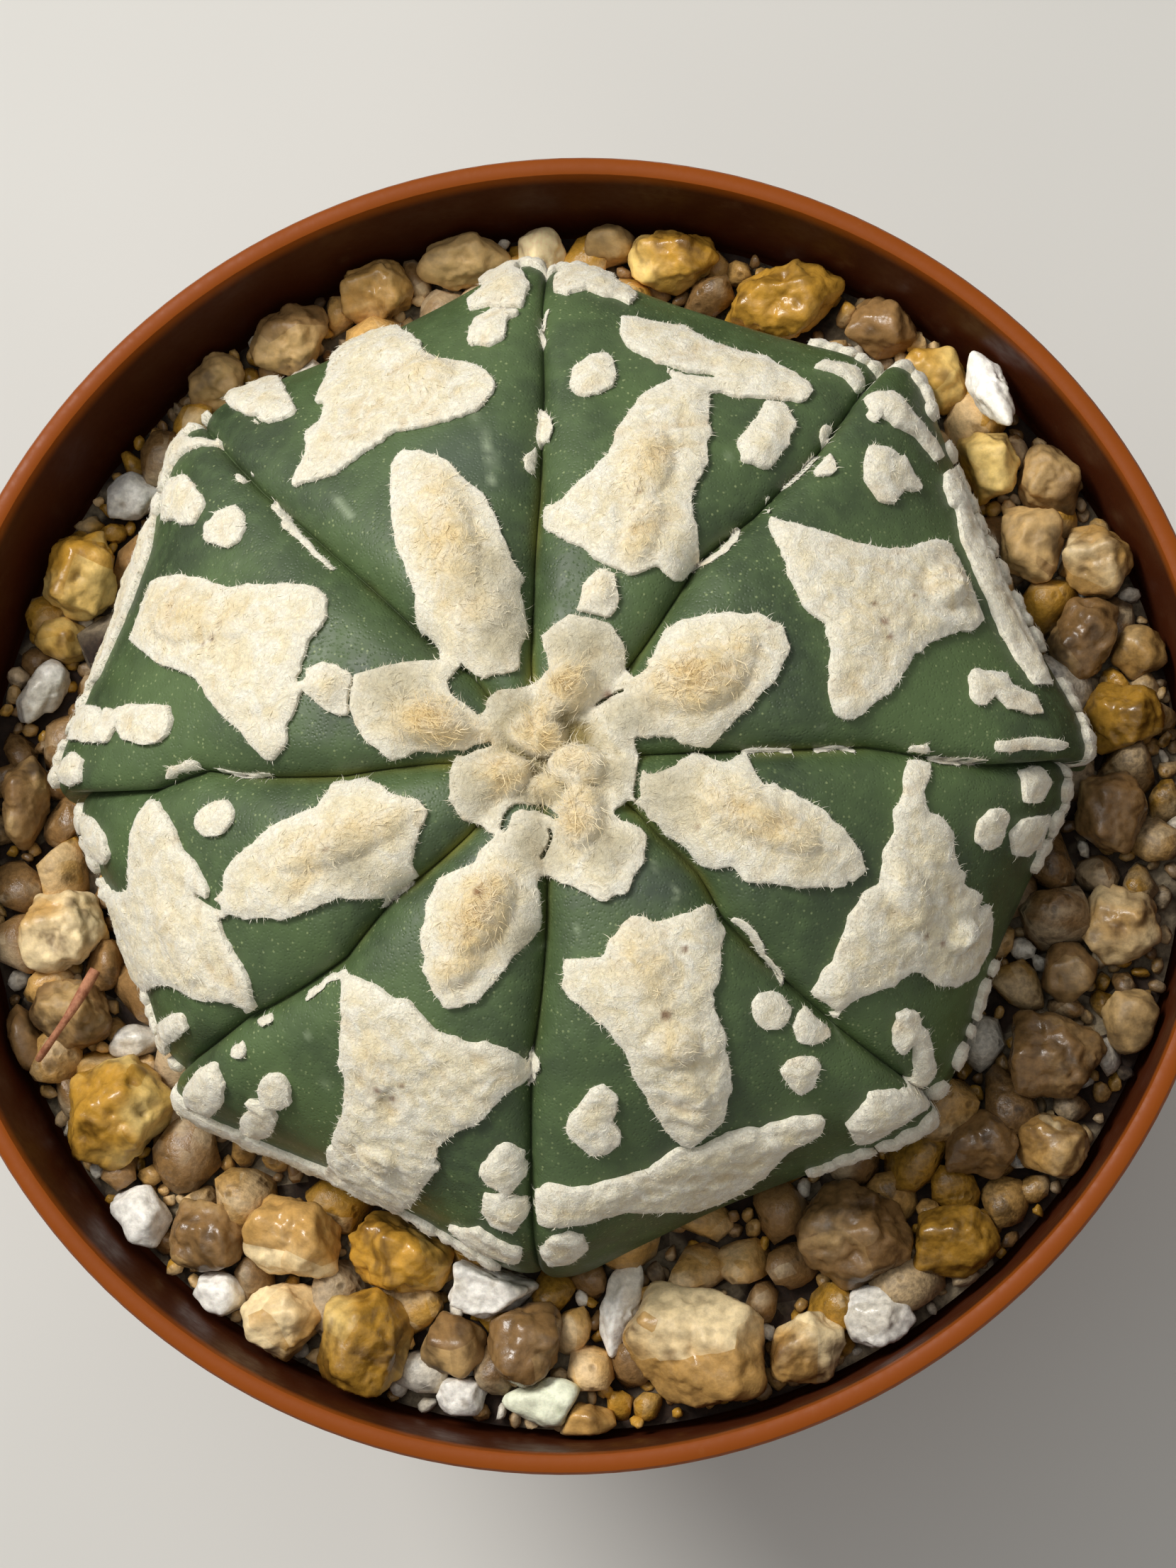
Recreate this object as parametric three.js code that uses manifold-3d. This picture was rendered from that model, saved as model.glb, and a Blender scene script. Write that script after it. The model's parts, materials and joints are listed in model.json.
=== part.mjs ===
// Potted sand dollar cactus (Astrophytum asterias): a flat, eight-ribbed, spineless cactus
// with large white wool pads, in a round nursery pot top-dressed with mineral grit.
// Units are millimetres, +Z is up and the origin is the centre of the pot's base.
// The plant's skin is described as a map laid flat: a point (x, y) of the map lies at the
// distance s = |(x, y)| from the crown, measured along the skin, and at the azimuth of (x, y).
import * as THREE from 'three';
import { mergeVertices } from 'three/addons/utils/BufferGeometryUtils.js';
import { TessellateModifier } from 'three/addons/modifiers/TessellateModifier.js';
import { ConvexGeometry } from 'three/addons/geometries/ConvexGeometry.js';
import Module from 'manifold-3d';

const wasm = await Module();
wasm.setup();

// Driving dimensions
const GAP = 0.3;
const DETAIL = 0.12;
const WELD = 1e-4;
const POT = {
  height: 60,
  rimRadius: 35,
  rimWall: 1.15,
  collarHeight: 9,
  collarFoot: 34.5,
  shoulder: 33,
  baseRadius: 24.5,
  wall: 1.1,
  floorTop: 2.3,
  recess: 1.0,
  footWidth: 5,
  chamfer: 0.6,
  holes: 6,
  holeRadius: 2.5,
  holeCircle: 13,
  holeSides: 12,
  segments: 48,
};
const MIX = { top: 46 };
const GRIT = {
  level: 52.1,
  bump: 0.35,
  segments: 34,
  loose: 42,
  looseRadius: [0.9, 1.9],
  looseLift: [0.1, 1.0],
  loosePoints: 9,
  looseFlatness: [0.7, 1],
  looseFrom: 24,
  rings: [0.12, 0.24, 0.36],
  hiddenRadius: 10.5,
  hollow: 1.4 * GAP,
  covered: 0.75,
  seed: 7321,
};
const PLANT = {
  axis: [-0.23, 2.63],
  widest: 59,
  lean: [0.1, -2.4],
  crestSteps: 600,
  columns: [-1, -0.9, -0.7, -0.35, 0, 0.35, 0.7, 0.9],
  rows: [1.6, 4, 7, 10.5, 14, 17.5, 21, 24, 26.5, 28.5, 30.5, 32.5, 35, 38, 43, 49, 57, 66, 75],
};
const WOOL = {
  height: 0.6,
  crownHeight: 0.5,
  crownReach: 7,
  sink: 1.0,
  bevel: 0.25,
  outlineStep: 2.75,
  fewestSides: 8,
  maxEdge: 4.2,
  passes: 8,
  grain: 0.12,
  fleckHeight: 0.5,
  fleckSides: 6,
};

// Crest line of a rib from the crown down to the root's tip: radius, height over the widest ring
const CREST = [
  [0, 10.1], [3.5, 10.5], [8, 10.4], [13, 9.3], [17.6, 7.1], [21.6, 4.1], [24.3, 0.9], [25.3, -2.6],
  [24.8, -6.6], [21.5, -10.5], [14.5, -14.5], [7.5, -18.5], [4, -25], [1.5, -35], [0, -38],
];

// Grooves between the ribs, each a list of [distance from the crown, azimuth in degrees]
const GROOVES = [
  [[5, 2], [12, 1.2], [17, 0.8], [20, -1], [24, -2.4], [30, -2]],
  [[5, 44], [10, 49], [13, 51], [17, 48.5], [22, 47.8], [27, 49]],
  [[5, 94], [8, 92], [14, 90.5], [20, 90.5], [26, 91.5]],
  [[5, 127], [9, 133], [16, 135.5], [22, 136.8], [30, 137]],
  [[5, 181], [10, 184], [15, 183], [18.3, 181.6], [22, 184.3], [30, 184.2]],
  [[5, 227], [10, 223.5], [14.5, 225.5], [18, 223.5], [22, 221.2], [28, 220.6]],
  [[4, 276], [8, 273], [12, 270.5], [16, 268], [26, 267.7]],
  [[4, 336], [7.2, 327], [10, 323.5], [12.5, 318], [16, 316.5], [22, 316]],
];

// How the ribs' section changes with the distance from the crown
const GROOVE_DEPTH = [[0, 0], [3, 0.5], [8, 1.5], [15, 2.1], [26, 2.6], [34, 2.2], [42, 1], [50, 0]];
const GROOVE_ROLL = [[0, 0.5], [3, 0.9], [8, 1.7], [15, 2.4], [26, 3], [34, 3]];
const RIB_SWELL = [[0, 0], [5, 0.5], [14, 0.9], [22, 0.5], [28, 0]];
const RIB_CORNER = [[0, 0], [8, 0], [16, 0.35], [24, 1], [30, 1.35], [38, 1.35], [50, 0]];

// Outlines of the wool pads on the flat map, rib by rib from the right-hand one, anticlockwise
const PADS = [
  // Rib at 25 degrees
  [[2.8, 0.7], [2.7, 1.9], [3.8, 3.5], [5.6, 4.6], [6.1, 6.2], [7.2, 7.2], [9, 7.5], [10.8, 7.4],
    [11.9, 6.6], [12.6, 5.5], [11.9, 3.9], [10.6, 2.6], [9.4, 1.4], [8, 0.9], [7.1, 0.95], [6.1, 1.1],
    [4.9, 0.9], [3.6, 0.6]],
  [[11.6, 12.5], [13.1, 12], [15.1, 11.5], [16.9, 11.1], [19, 11], [21, 11.7], [22.7, 11.8], [24, 11.3],
    [24.7, 10], [25, 8.4], [23.6, 7.1], [21.7, 6.2], [20.4, 5.7], [19.2, 4.6], [18.3, 3.2], [16.9, 2.3],
    [15.8, 1.7], [14.8, 2], [14.4, 3.7], [14.4, 5.7], [14.2, 6.9], [13.1, 8], [12.6, 9.2], [11.9, 11]],
  [[23, 16.4], [24.2, 14.2], [24.8, 12.2], [25.7, 10.4], [26.3, 8.6], [26.6, 6.2], [27.2, 4], [28.4, 3.2],
    [29, 5], [29.2, 8.4], [28.8, 11.6], [27.2, 14.4], [25, 17], [23.6, 17.4]],
  // Rib at 70 degrees
  [[0.1, 6.4], [1.3, 7.3], [3.2, 7.1], [4.2, 5.9], [4.6, 4.4], [4.2, 3.6], [2.6, 3], [0.7, 3.3],
    [0.6, 4.8]],
  [[7.6, 21], [8.7, 20.1], [8.9, 17.8], [8.5, 15.9], [7.8, 13.7], [7.8, 11.9], [7.9, 10.4], [7.3, 9.6],
    [6.4, 9.6], [4.5, 9.3], [3.1, 10], [1.9, 11.1], [0.6, 12], [0.6, 13], [1.5, 13.5], [3.1, 15.1],
    [4, 17.5], [4.9, 19.2], [6.1, 20.5]],
  [[3.4, 24.3], [4.2, 25.6], [6.5, 26.6], [8.5, 28.4], [10.5, 28.4], [11.8, 26], [13.2, 23.6],
    [14.5, 21.7], [14.7, 20.4], [13.6, 19.6], [11.5, 19.9], [9.7, 20.6], [8.5, 21.9], [7, 21.9],
    [6.1, 22.3], [4.5, 23.2]],
  // Rib at 114 degrees
  [[-2.6, 2.8], [-2.2, 3.5], [-1, 3.8], [0, 4.1], [0.5, 3], [0, 1.8], [-1.9, 1.6]],
  [[-7.9, 16.2], [-6.6, 16.5], [-5.1, 15.9], [-4.4, 15], [-3.4, 14.1], [-2.3, 12.8], [-1.6, 11.2],
    [-0.9, 9.6], [-0.7, 8], [-0.7, 6.6], [-1, 5.3], [-1.7, 4.7], [-2.8, 4.6], [-4.2, 4.8], [-5, 5.9],
    [-6.1, 6.9], [-6.2, 8.5], [-7.1, 10.5], [-7.6, 12.5], [-7.9, 14.6]],
  [[-13.9, 14.9], [-13.2, 17.3], [-13.5, 18.7], [-13.1, 19.8], [-13.2, 21.2], [-14.2, 24.1], [-15, 26.6],
    [-14, 29.4], [-11, 29.6], [-8.8, 27], [-7.3, 23.6], [-5.1, 22.5], [-3.7, 21.4], [-2.6, 20.1],
    [-3.5, 18.7], [-5.1, 18.4], [-8, 17.8], [-9.1, 17.1], [-10.7, 16.2], [-11.8, 15.3]],
  // Rib at 161 degrees
  [[-9, 4.4], [-7.3, 5.1], [-6.2, 5.3], [-5.4, 5], [-4.6, 4.1], [-3.4, 2.8], [-1.9, 1.6], [-3, 0.8],
    [-4.4, 0.6], [-6.2, 0.4], [-7.3, 0.1], [-8.4, 0.7], [-9.2, 2.1]],
  [[-25.9, 8.3], [-25, 10], [-23.4, 10.6], [-21.2, 10.6], [-18.9, 10.2], [-17.6, 9.8], [-16.4, 9.3],
    [-15.1, 9.8], [-12.3, 9.4], [-11.2, 8.9], [-10.9, 8], [-11.6, 6.4], [-12.3, 4.6], [-12.1, 3.7],
    [-12.5, 2.3], [-13, 1], [-13.9, 0.2], [-14.8, 1], [-15.9, 2.1], [-17.6, 3.7], [-18.9, 4.6],
    [-20.9, 5.1], [-23, 6.2], [-25, 7.3]],
  [[-27, 14.6], [-25.9, 13.2], [-25.9, 11.4], [-26.8, 9.6], [-27.4, 7.2], [-27.8, 5], [-28.8, 4.3],
    [-29.6, 6.6], [-29.6, 9.6], [-29, 12.6], [-28.2, 14.6]],
  // Rib at 203 degrees
  [[-4.1, 0.4], [-4.5, -0.8], [-4.3, -2.4], [-3.4, -3.1], [-1.9, -3.4], [-1.2, -2.3], [-0.8, -0.6],
    [-2, 0.8]],
  [[-10.4, -1.4], [-8.4, -0.9], [-7.3, -1.7], [-5.9, -2], [-5.4, -2.6], [-5.9, -4.2], [-6.4, -5.2],
    [-7.5, -6.2], [-8.6, -6.8], [-9.8, -6.7], [-11.6, -7.2], [-12.8, -8], [-15, -8], [-16.6, -7.8],
    [-17, -7.3], [-16.4, -6.1], [-15.3, -4.7], [-13.9, -3.3], [-11.9, -2.2]],
  [[-22.4, -2.5], [-21.5, -2.5], [-20.5, -3.5], [-19.8, -4.2], [-19.1, -5.6], [-18.4, -6.3],
    [-17.8, -7.2], [-17.3, -8.1], [-16.8, -9.2], [-16.7, -10.3], [-15.9, -11.3], [-15.9, -12.4],
    [-16.4, -13.4], [-17.5, -13], [-18.7, -13.3], [-19.8, -13.4], [-20.5, -12.6], [-21.9, -12.8],
    [-23.4, -13.5], [-25, -14.2], [-27, -14.6], [-28.6, -12.4], [-28.6, -9.6], [-26.9, -8.4],
    [-25, -7.9], [-24.1, -6.9], [-23.7, -5.6], [-22.3, -4.4]],
  // Rib at 245 degrees
  [[-1, -2.4], [0, -2.6], [0.9, -3.3], [0.6, -4.4], [0, -6.1], [-0.1, -7.4], [-0.2, -8.6], [-1, -9.9],
    [-1.9, -11.1], [-3.2, -12.1], [-4.4, -12], [-5.5, -10.8], [-5.7, -8.6], [-5.4, -7.2], [-4.9, -6],
    [-3, -5.1], [-2.3, -4], [-1.6, -2.8]],
  [[-9.9, -10.5], [-8.4, -11], [-7.1, -11.9], [-6, -12.2], [-5.5, -13.3], [-3.5, -14.2], [-1.9, -14.8],
    [-1.2, -15.8], [-1.4, -16.9], [-2.1, -17.6], [-3.5, -19], [-5, -19.9], [-5.9, -21.1], [-6.2, -22.9],
    [-7.5, -24.7], [-8.7, -26.9], [-10.4, -28.8], [-13.2, -28.8], [-14.6, -26.8], [-13.6, -24.6],
    [-12.5, -22.4], [-11.6, -20.2], [-10.7, -18.4], [-10.6, -16.1], [-10.3, -14.4], [-10.2, -12.2]],
  // Rib at 292 degrees
  [[1.3, -2.4], [0.8, -4.2], [0.3, -5.2], [1, -6.1], [2.2, -6.8], [3.5, -7], [4.5, -6.5], [4.8, -5.2],
    [4.7, -4.2], [4.1, -3.3], [3.6, -2.4]],
  [[1.2, -9.9], [3.3, -9.7], [3.8, -8.6], [4.5, -7.8], [5.8, -8.1], [7.2, -7.9], [7.8, -8], [8.5, -9],
    [8.9, -10.4], [8.6, -11.5], [9, -13.3], [9.4, -15.1], [9.7, -16.9], [9.5, -18.8], [8.8, -20.4],
    [7.8, -21.1], [6.9, -20.6], [6, -19], [5.2, -17], [4.5, -15.1], [3.6, -13.5], [2.4, -12.4],
    [1.2, -11.3]],
  [[-0.3, -24.7], [0.4, -23.1], [2, -23.1], [4.9, -22.9], [6.5, -22.3], [7.6, -22], [9.2, -21.9],
    [10.4, -21], [12, -20.8], [13.6, -20.3], [14.8, -20.5], [15.1, -22.2], [14.2, -23.3], [14, -24.7],
    [12.9, -26.6], [10.6, -28], [7.6, -28.4], [5.4, -27.4], [4.2, -26.5], [2, -26], [0.2, -25.8]],
  // Rib at 338 degrees
  [[0.8, 0.7], [2.6, 0.5], [4.6, 0.5], [5, -0.4], [4.4, -1.4], [3.6, -2.2], [1.3, -2.4]],
  [[5, -1.9], [5.8, -0.6], [7, -0.3], [9.7, -0.2], [10.6, -0.3], [11.1, -1], [12.6, -1.9], [14.2, -2.8],
    [15.1, -3.6], [16, -4.9], [16.4, -5.9], [15.6, -6.7], [13.8, -6.6], [12.2, -6.1], [10.4, -6.1],
    [9.5, -5.5], [8.6, -5.2], [7.6, -4.2], [6.1, -3.2], [5.2, -2.6]],
  [[19.5, 0], [20.6, -0.6], [19.9, -1.4], [19.8, -2.6], [21.3, -3.8], [21.9, -5.1], [22.2, -6.5],
    [22.8, -7.2], [24.4, -8.6], [25.8, -9.5], [26.8, -10.8], [26, -13], [24, -14.4], [22.2, -13.8],
    [20.4, -12.5], [19.2, -12], [17.9, -12.6], [16.3, -12.9], [15.3, -13.4], [14.4, -12.8],
    [14.4, -11.6], [14.9, -10.8], [15.2, -9.7], [15.6, -8.3], [16.7, -7.1], [17.4, -6.6],
    [17.4, -5.2], [18.1, -4.5], [18.5, -2.6], [18.9, -0.8]],
];

// Small irregular wool patches on the flat map
const PATCHES = [
  [[1.1, 21.2], [2.4, 22.5], [3.7, 21.9], [3.6, 20.1], [2.2, 19.4], [1.05, 20.2]],
  [[10.1, 16.9], [11.3, 18.7], [12.9, 19], [13.7, 18.2], [13.3, 16.4], [12.2, 15.4], [10.8, 15.3]],
  [[17, 15.5], [17.6, 16.9], [19, 16.8], [19.8, 16.3], [20.8, 17.3], [22, 17.2], [22, 16.2],
    [20.8, 15.2], [19.5, 14.2], [18.5, 13.4], [17.4, 14.1]],
  [[22.4, 3.5], [23.5, 4.4], [25.4, 3.9], [26.5, 3], [26.6, 1.6], [25.6, 1.5], [24.4, 2.4], [22.9, 2.2]],
  [[-11.7, 4.4], [-10.9, 5.1], [-9.6, 5], [-9.1, 4.4], [-9.2, 2.8], [-10, 2.5], [-11.2, 3.4]],
  [[-19.6, 13.2], [-18.7, 13.6], [-17.6, 14.3], [-16.7, 14], [-16.2, 12.8], [-16.7, 11.9],
    [-17.8, 11.7], [-18.9, 11.9]],
  [[-26.4, 18.4], [-25.9, 20.2], [-24.8, 19.6], [-24.1, 17.5], [-22.3, 16.7], [-21.2, 16.8],
    [-20.5, 15.7], [-19.6, 15.1], [-19.6, 13.9], [-20.7, 13.3], [-22.3, 14.1], [-24.6, 15], [-26, 16.4]],
  [[-24.6, 2.6], [-23.7, 3.2], [-20.5, 3.3], [-20, 2.6], [-20.5, 1.4], [-21.6, 1], [-23.2, 1.1]],
  [[-28.4, 3.2], [-25.5, 3], [-24.9, 1.9], [-25.3, 0.8], [-26.8, 1.1], [-28.2, 0.9]],
  [[-5.1, 24.1], [-4.4, 24.7], [-2.6, 24.5], [-2.4, 23.8], [-3, 23.2], [-4.1, 23]],
  [[-5.4, 26.2], [-4.4, 27.3], [-2.6, 27], [-1.8, 26.1], [-2.3, 25.3], [-4.4, 25.2]],
  [[-19.9, 22.6], [-20.5, 20.8], [-19.2, 19.9], [-17.6, 19.3], [-15.9, 19.3], [-15.2, 20.1],
    [-15.9, 21.4], [-17.3, 22.8], [-18.4, 23.8]],
  [[-3.6, -21.9], [-2.8, -20.3], [-1.9, -20.3], [-1.3, -21.6], [-1.5, -22.9], [-2.3, -23.5],
    [-3.2, -22.9]],
  [[-3.4, -25.2], [-2.7, -24.2], [-1.6, -24.4], [-1.5, -25.8], [-2.3, -26.1]],
  [[-21.2, -15], [-21.4, -16.2], [-22.6, -17.8], [-24.2, -17.6], [-23.6, -15.8], [-22.4, -15]],
  [[-16.6, -19.3], [-15.7, -20.1], [-15.9, -21.3], [-17.4, -22.7], [-18.6, -22], [-17.8, -20.4]],
  [[2.2, -16.9], [2.9, -16.5], [3.7, -17.2], [3.9, -17.9], [3.5, -18.8], [3.9, -19.5], [3.8, -20.4],
    [2.7, -21.1], [1.7, -20.4], [0.9, -19.2], [1.9, -18.1]],
  [[12.5, -15], [13.2, -13.9], [13.9, -13.9], [14.4, -15.1], [13.6, -15.4]],
  [[16.9, -18.9], [18.3, -18.4], [18.9, -19.4], [18.6, -21.2], [18, -22.4], [17, -22], [16.4, -21],
    [16.6, -19.8]],
];

// Round and oval wool flecks: centre on the flat map, half length, half width, turn in degrees
const FLECKS = [
  [3.1, 8.4, 1.35, 1, 80], [16.3, 21.7, 1.2, 0.6, 0], [3.6, 27, 1.1, 0.6, -70],
  [1.6, 28.6, 1.5, 1, 90], [18.2, 20.2, 1.1, 0.7, -40], [20.4, 19, 1.3, 0.7, -30],
  [13.9, 17.2, 0.6, 0.5, 0], [15.8, 15.2, 0.8, 0.5, 20],
  [24.5, -4.6, 1.2, 1.15, 0], [23.5, -0.3, 1, 0.5, 0], [26.9, -2.9, 1.5, 0.85, -50],
  [26.6, -6, 1.2, 1, -20], [19.4, -15.4, 1.4, 0.85, -80], [21, -17.4, 1.9, 0.8, -65],
  [11.7, -13.2, 1.2, 1, -25], [13.3, -17, 1.15, 1, 90], [0.9, -27.6, 1.3, 0.9, 90],
  [-15, -18.3, 1.5, 0.95, 90], [-16.7, -15.9, 0.8, 0.7, 0], [-14.4, -14.3, 0.9, 0.5, 25],
  [-19.6, -19.4, 1.3, 0.7, -50], [-21.2, -20.4, 1.1, 0.8, -40], [-17.4, -2.8, 1.3, 1.1, 0],
  [-26.9, -5, 1.2, 0.9, 0], [-27.6, -3.2, 0.9, 0.6, 30], [-28.4, -0.5, 0.9, 0.7, 0],
  [-19.4, -0.2, 1.5, 0.5, 12], [-14.2, 13.6, 1.2, 0.5, -42], [-17.2, 16.6, 1.3, 0.5, -25],
  [-22.6, 19.4, 1.4, 0.6, -45], [-20.8, 21.4, 1.5, 0.6, -45], [0.2, 18.2, 1.5, 0.5, -80],
  [-0.9, 15.8, 0.9, 0.5, 85], [-4.6, 28.7, 1.2, 0.8, 0], [-1.6, 29.2, 1, 0.8, 0],
];

// Grit stones lying loose on the bed: x, y, length, width, turn in degrees, height, colour, lift, tilt
const STONES = [
  [-24.6, -16.2, 6.2, 5.4, 30, 4.6, 'ochre'],
  [-23.6, -21.8, 3.6, 2.9, -35, 3, 'white'],
  [-19.6, -22.8, 4.4, 4, 0, 3.8, 'brown'],
  [-14.9, -23, 6, 4.6, -20, 4.4, 'tan'],
  [-9.3, -23.4, 6.6, 4.4, -20, 4.2, 'ochre'],
  [-4.4, -25.2, 5.2, 4, 15, 3.8, 'white'],
  [-15.6, -27.2, 4.8, 4, 20, 4, 'tan'],
  [-11, -28.4, 6, 4.6, 80, 4.8, 'ochre'],
  [-6.3, -28.6, 3.4, 3.2, 0, 3.2, 'brown'],
  [-2.4, -28.4, 4.4, 4, 80, 4.2, 'brown'],
  [-1.2, -31.4, 5, 2.4, -10, 3, 'green'],
  [-6, -31.2, 3, 2.2, -20, 2.4, 'white'],
  [7, -28.6, 8.6, 6.4, -10, 4.8, 'tan'],
  [12.4, -28.6, 4.6, 3.8, 30, 3.8, 'tan'],
  [2.6, -26.6, 5.2, 1.9, 75, 2.4, 'white'],
  [16.2, -27, 3.8, 3.4, 0, 3.6, 'white'],
  [14.8, -22.8, 6.4, 5.2, 0, 4.4, 'brown'],
  [20.3, -23, 4.6, 3.6, 20, 3.4, 'ochre'],
  [-28, -6, 5.2, 4.4, 20, 4.2, 'tan'],
  [-27.4, -10.8, 4.6, 3.8, 0, 3.8, 'brown'],
  [-27.2, 13.6, 5, 4.2, 80, 4.4, 'ochre'],
  [-24.9, 18.4, 3, 2.6, 30, 2.6, 'white'],
  [-29.6, 7.4, 4.4, 2, 55, 2.6, 'white'],
  [-6.2, 31.4, 5.2, 3.2, 10, 3.6, 'brown'],
  [-1.7, 31.8, 3.2, 2.6, 90, 3.2, 'tan'],
  [5.6, 31.2, 5.2, 3.4, 10, 3.8, 'ochre'],
  [12, 29, 6.4, 4.4, 20, 4.2, 'ochre'],
  [17.2, 27, 3.6, 3.2, 0, 3.4, 'brown'],
  [19.8, 23.4, 4.4, 3.8, -10, 3.8, 'ochre'],
  [22.8, 22.8, 5.8, 2, -66, 2, 'white', 3.2, -24],
  [22.6, 18.8, 4.4, 4.2, 0, 4, 'ochre'],
  [26.4, 18.2, 3.8, 3.6, 60, 3.6, 'brown'],
  [25, 14.4, 4.4, 3.8, 90, 4.2, 'brown'],
  [28.9, 13.4, 4.2, 4, 20, 4, 'tan'],
  [27.8, 9.2, 4.6, 3.8, 60, 4, 'brown'],
  [29.6, 4.6, 4.6, 3.6, 0, 3.8, 'ochre'],
  [29, -0.4, 4.8, 3.8, 90, 4, 'brown'],
  [29.2, -6.4, 4.6, 3.8, 0, 3.6, 'tan'],
  [25.6, -13.6, 5.4, 4.8, 20, 4.2, 'brown'],
  [-16, 27, 4.8, 4, 20, 4, 'brown'],
  [-11, 29.8, 4.4, 3.4, 20, 3.6, 'tan'],
  [-30.4, 1, 4.8, 2.8, 90, 3.4, 'brown'],
  [-30.6, -12.2, 4.4, 2, 110, 2.8, 'brown'],
  [-24.2, -12.2, 2.8, 1.9, 10, 2.2, 'white'],
  [-28.6, 10.2, 2.9, 2.6, 0, 2.8, 'ochre'],
  [-20.4, 25, 3.6, 3.2, 40, 3.2, 'brown'],
  [-19.6, -26.4, 3.2, 2.6, 0, 2.8, 'white'],
  [2, 32.4, 2.8, 2.4, 0, 2.8, 'brown'],
  [30.6, 8.4, 3.6, 2.6, -10, 3, 'tan'],
  [26.6, -8.8, 3.2, 3, 20, 3.2, 'brown'],
  [29.8, -11.4, 3.4, 3, 60, 3.2, 'brown'],
  [21.8, -18, 4, 3.6, 30, 3.6, 'brown'],
  [26, -18.4, 4, 3.4, -30, 3.4, 'tan'],
  [0.6, -33, 3.4, 2, 0, 2.6, 'tan'],
];
const STONE = {
  scale: 1.18,
  points: 13,
  sink: 0.7,
  plantClearance: 0.95,
  roughness: [0.86, 1.1],
  swirl: 0.5,
};
const DRY_ROOT = {
  path: [[-25.6, -8.6, 56], [-26.6, -10.6, 56.45], [-27.8, -12.2, 56], [-28.9, -13.3, 54.9]],
  halfWidth: 0.4,
  sides: 5,
  steps: 6,
};

// Colours and surfaces
const SURFACES = {
  pot: [0x8f4a2f, 0.5],
  mix: [0x3a2a1e, 0.95],
  grit: [0x84705a, 0.9],
  skin: [0x3f5a3a, 0.6],
  root: [0x96583c, 0.8],
  tan: [0xb9905c, 0.85],
  ochre: [0xa88442, 0.85],
  white: [0xd9d5cb, 0.8],
  brown: [0x6f5a42, 0.85],
  green: [0xb7bf98, 0.85],
};

// Repeatable random numbers from 0 to 1
function random(seed) {
  let state = seed >>> 0;
  return () => {
    state = (state + 0x6d2b79f5) >>> 0;
    let t = state;
    t = Math.imul(t ^ (t >>> 15), t | 1);
    t ^= t + Math.imul(t ^ (t >>> 7), t | 61);
    return ((t ^ (t >>> 14)) >>> 0) / 2 ** 32;
  };
}

const GOLDEN_ANGLE = Math.PI * (3 - Math.sqrt(5));
const UP = new THREE.Vector3(0, 0, 1);
const mix = (a, b, t) => a + (b - a) * t;
const between = (draw, [low, high]) => mix(low, high, draw());
const rad = THREE.MathUtils.degToRad;

// Value of a list of [x, y] stations at x, level beyond its ends
function along(stations, x) {
  if (x <= stations[0][0]) return stations[0][1];
  for (let i = 1; i < stations.length; i++) {
    const [x1, y1] = stations[i];
    const [x0, y0] = stations[i - 1];
    if (x <= x1) return mix(y0, y1, (x - x0) / (x1 - x0));
  }
  return stations[stations.length - 1][1];
}

// Closed geometry with shared vertices and no degenerate triangles
function closed(geometry) {
  const bare = geometry.clone();
  bare.deleteAttribute('normal');
  bare.deleteAttribute('uv');
  const merged = mergeVertices(bare, WELD);
  const index = merged.index.array;
  const kept = [];
  for (let i = 0; i < index.length; i += 3) {
    const [a, b, c] = [index[i], index[i + 1], index[i + 2]];
    if (a !== b && b !== c && c !== a) kept.push(a, b, c);
  }
  merged.setIndex(kept);
  return merged;
}

function solid(geometry) {
  const shape = closed(geometry);
  return new wasm.Manifold(new wasm.Mesh({
    numProp: 3,
    vertProperties: new Float32Array(shape.attributes.position.array),
    triVerts: new Uint32Array(shape.index.array),
  }));
}

function geometryOf(manifold) {
  const mesh = manifold.getMesh();
  const geometry = new THREE.BufferGeometry();
  geometry.setAttribute('position', new THREE.Float32BufferAttribute(mesh.vertProperties, 3));
  geometry.setIndex([...mesh.triVerts]);
  const shape = closed(geometry);
  shape.computeVertexNormals();
  return shape;
}

const largest = (manifold) => manifold.decompose().sort((a, b) => b.volume() - a.volume())[0];

// The one body of a join or cut, without edges finer than the detail
const finished = (manifold) => largest(manifold.simplify(DETAIL));

// Solid of revolution about Z from a profile of [radius, height] that starts and ends on the axis
function turned(profile, segments) {
  const points = profile.map(([radius, height]) => new THREE.Vector2(radius, height));
  return new THREE.LatheGeometry(points, segments).rotateX(Math.PI / 2);
}

// Crest line as a smooth curve with its arc length
const crest = new THREE.SplineCurve(CREST.map(([radius, height]) => new THREE.Vector2(radius, height)));
crest.arcLengthDivisions = PLANT.crestSteps;
const crestLength = crest.getLength();

// Azimuths of a rib's two grooves at a distance from the crown
function ribBounds(rib, s) {
  const low = along(GROOVES[rib], s);
  const high = along(GROOVES[(rib + 1) % GROOVES.length], s);
  return [low, low + THREE.MathUtils.euclideanModulo(high - low, 360)];
}

// Angular place of an azimuth between its two grooves: -1 and 1 at the grooves, 0 on the crest
function placeInRib(azimuth, s) {
  for (let i = 0; i < GROOVES.length; i++) {
    const [low, high] = ribBounds(i, s);
    const width = high - low;
    const offset = THREE.MathUtils.euclideanModulo(azimuth - low, 360);
    if (offset < width) return { place: 2 * offset / width - 1, half: rad(width / 2) };
  }
  return { place: -1, half: rad(360 / GROOVES.length / 2) };
}

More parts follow.
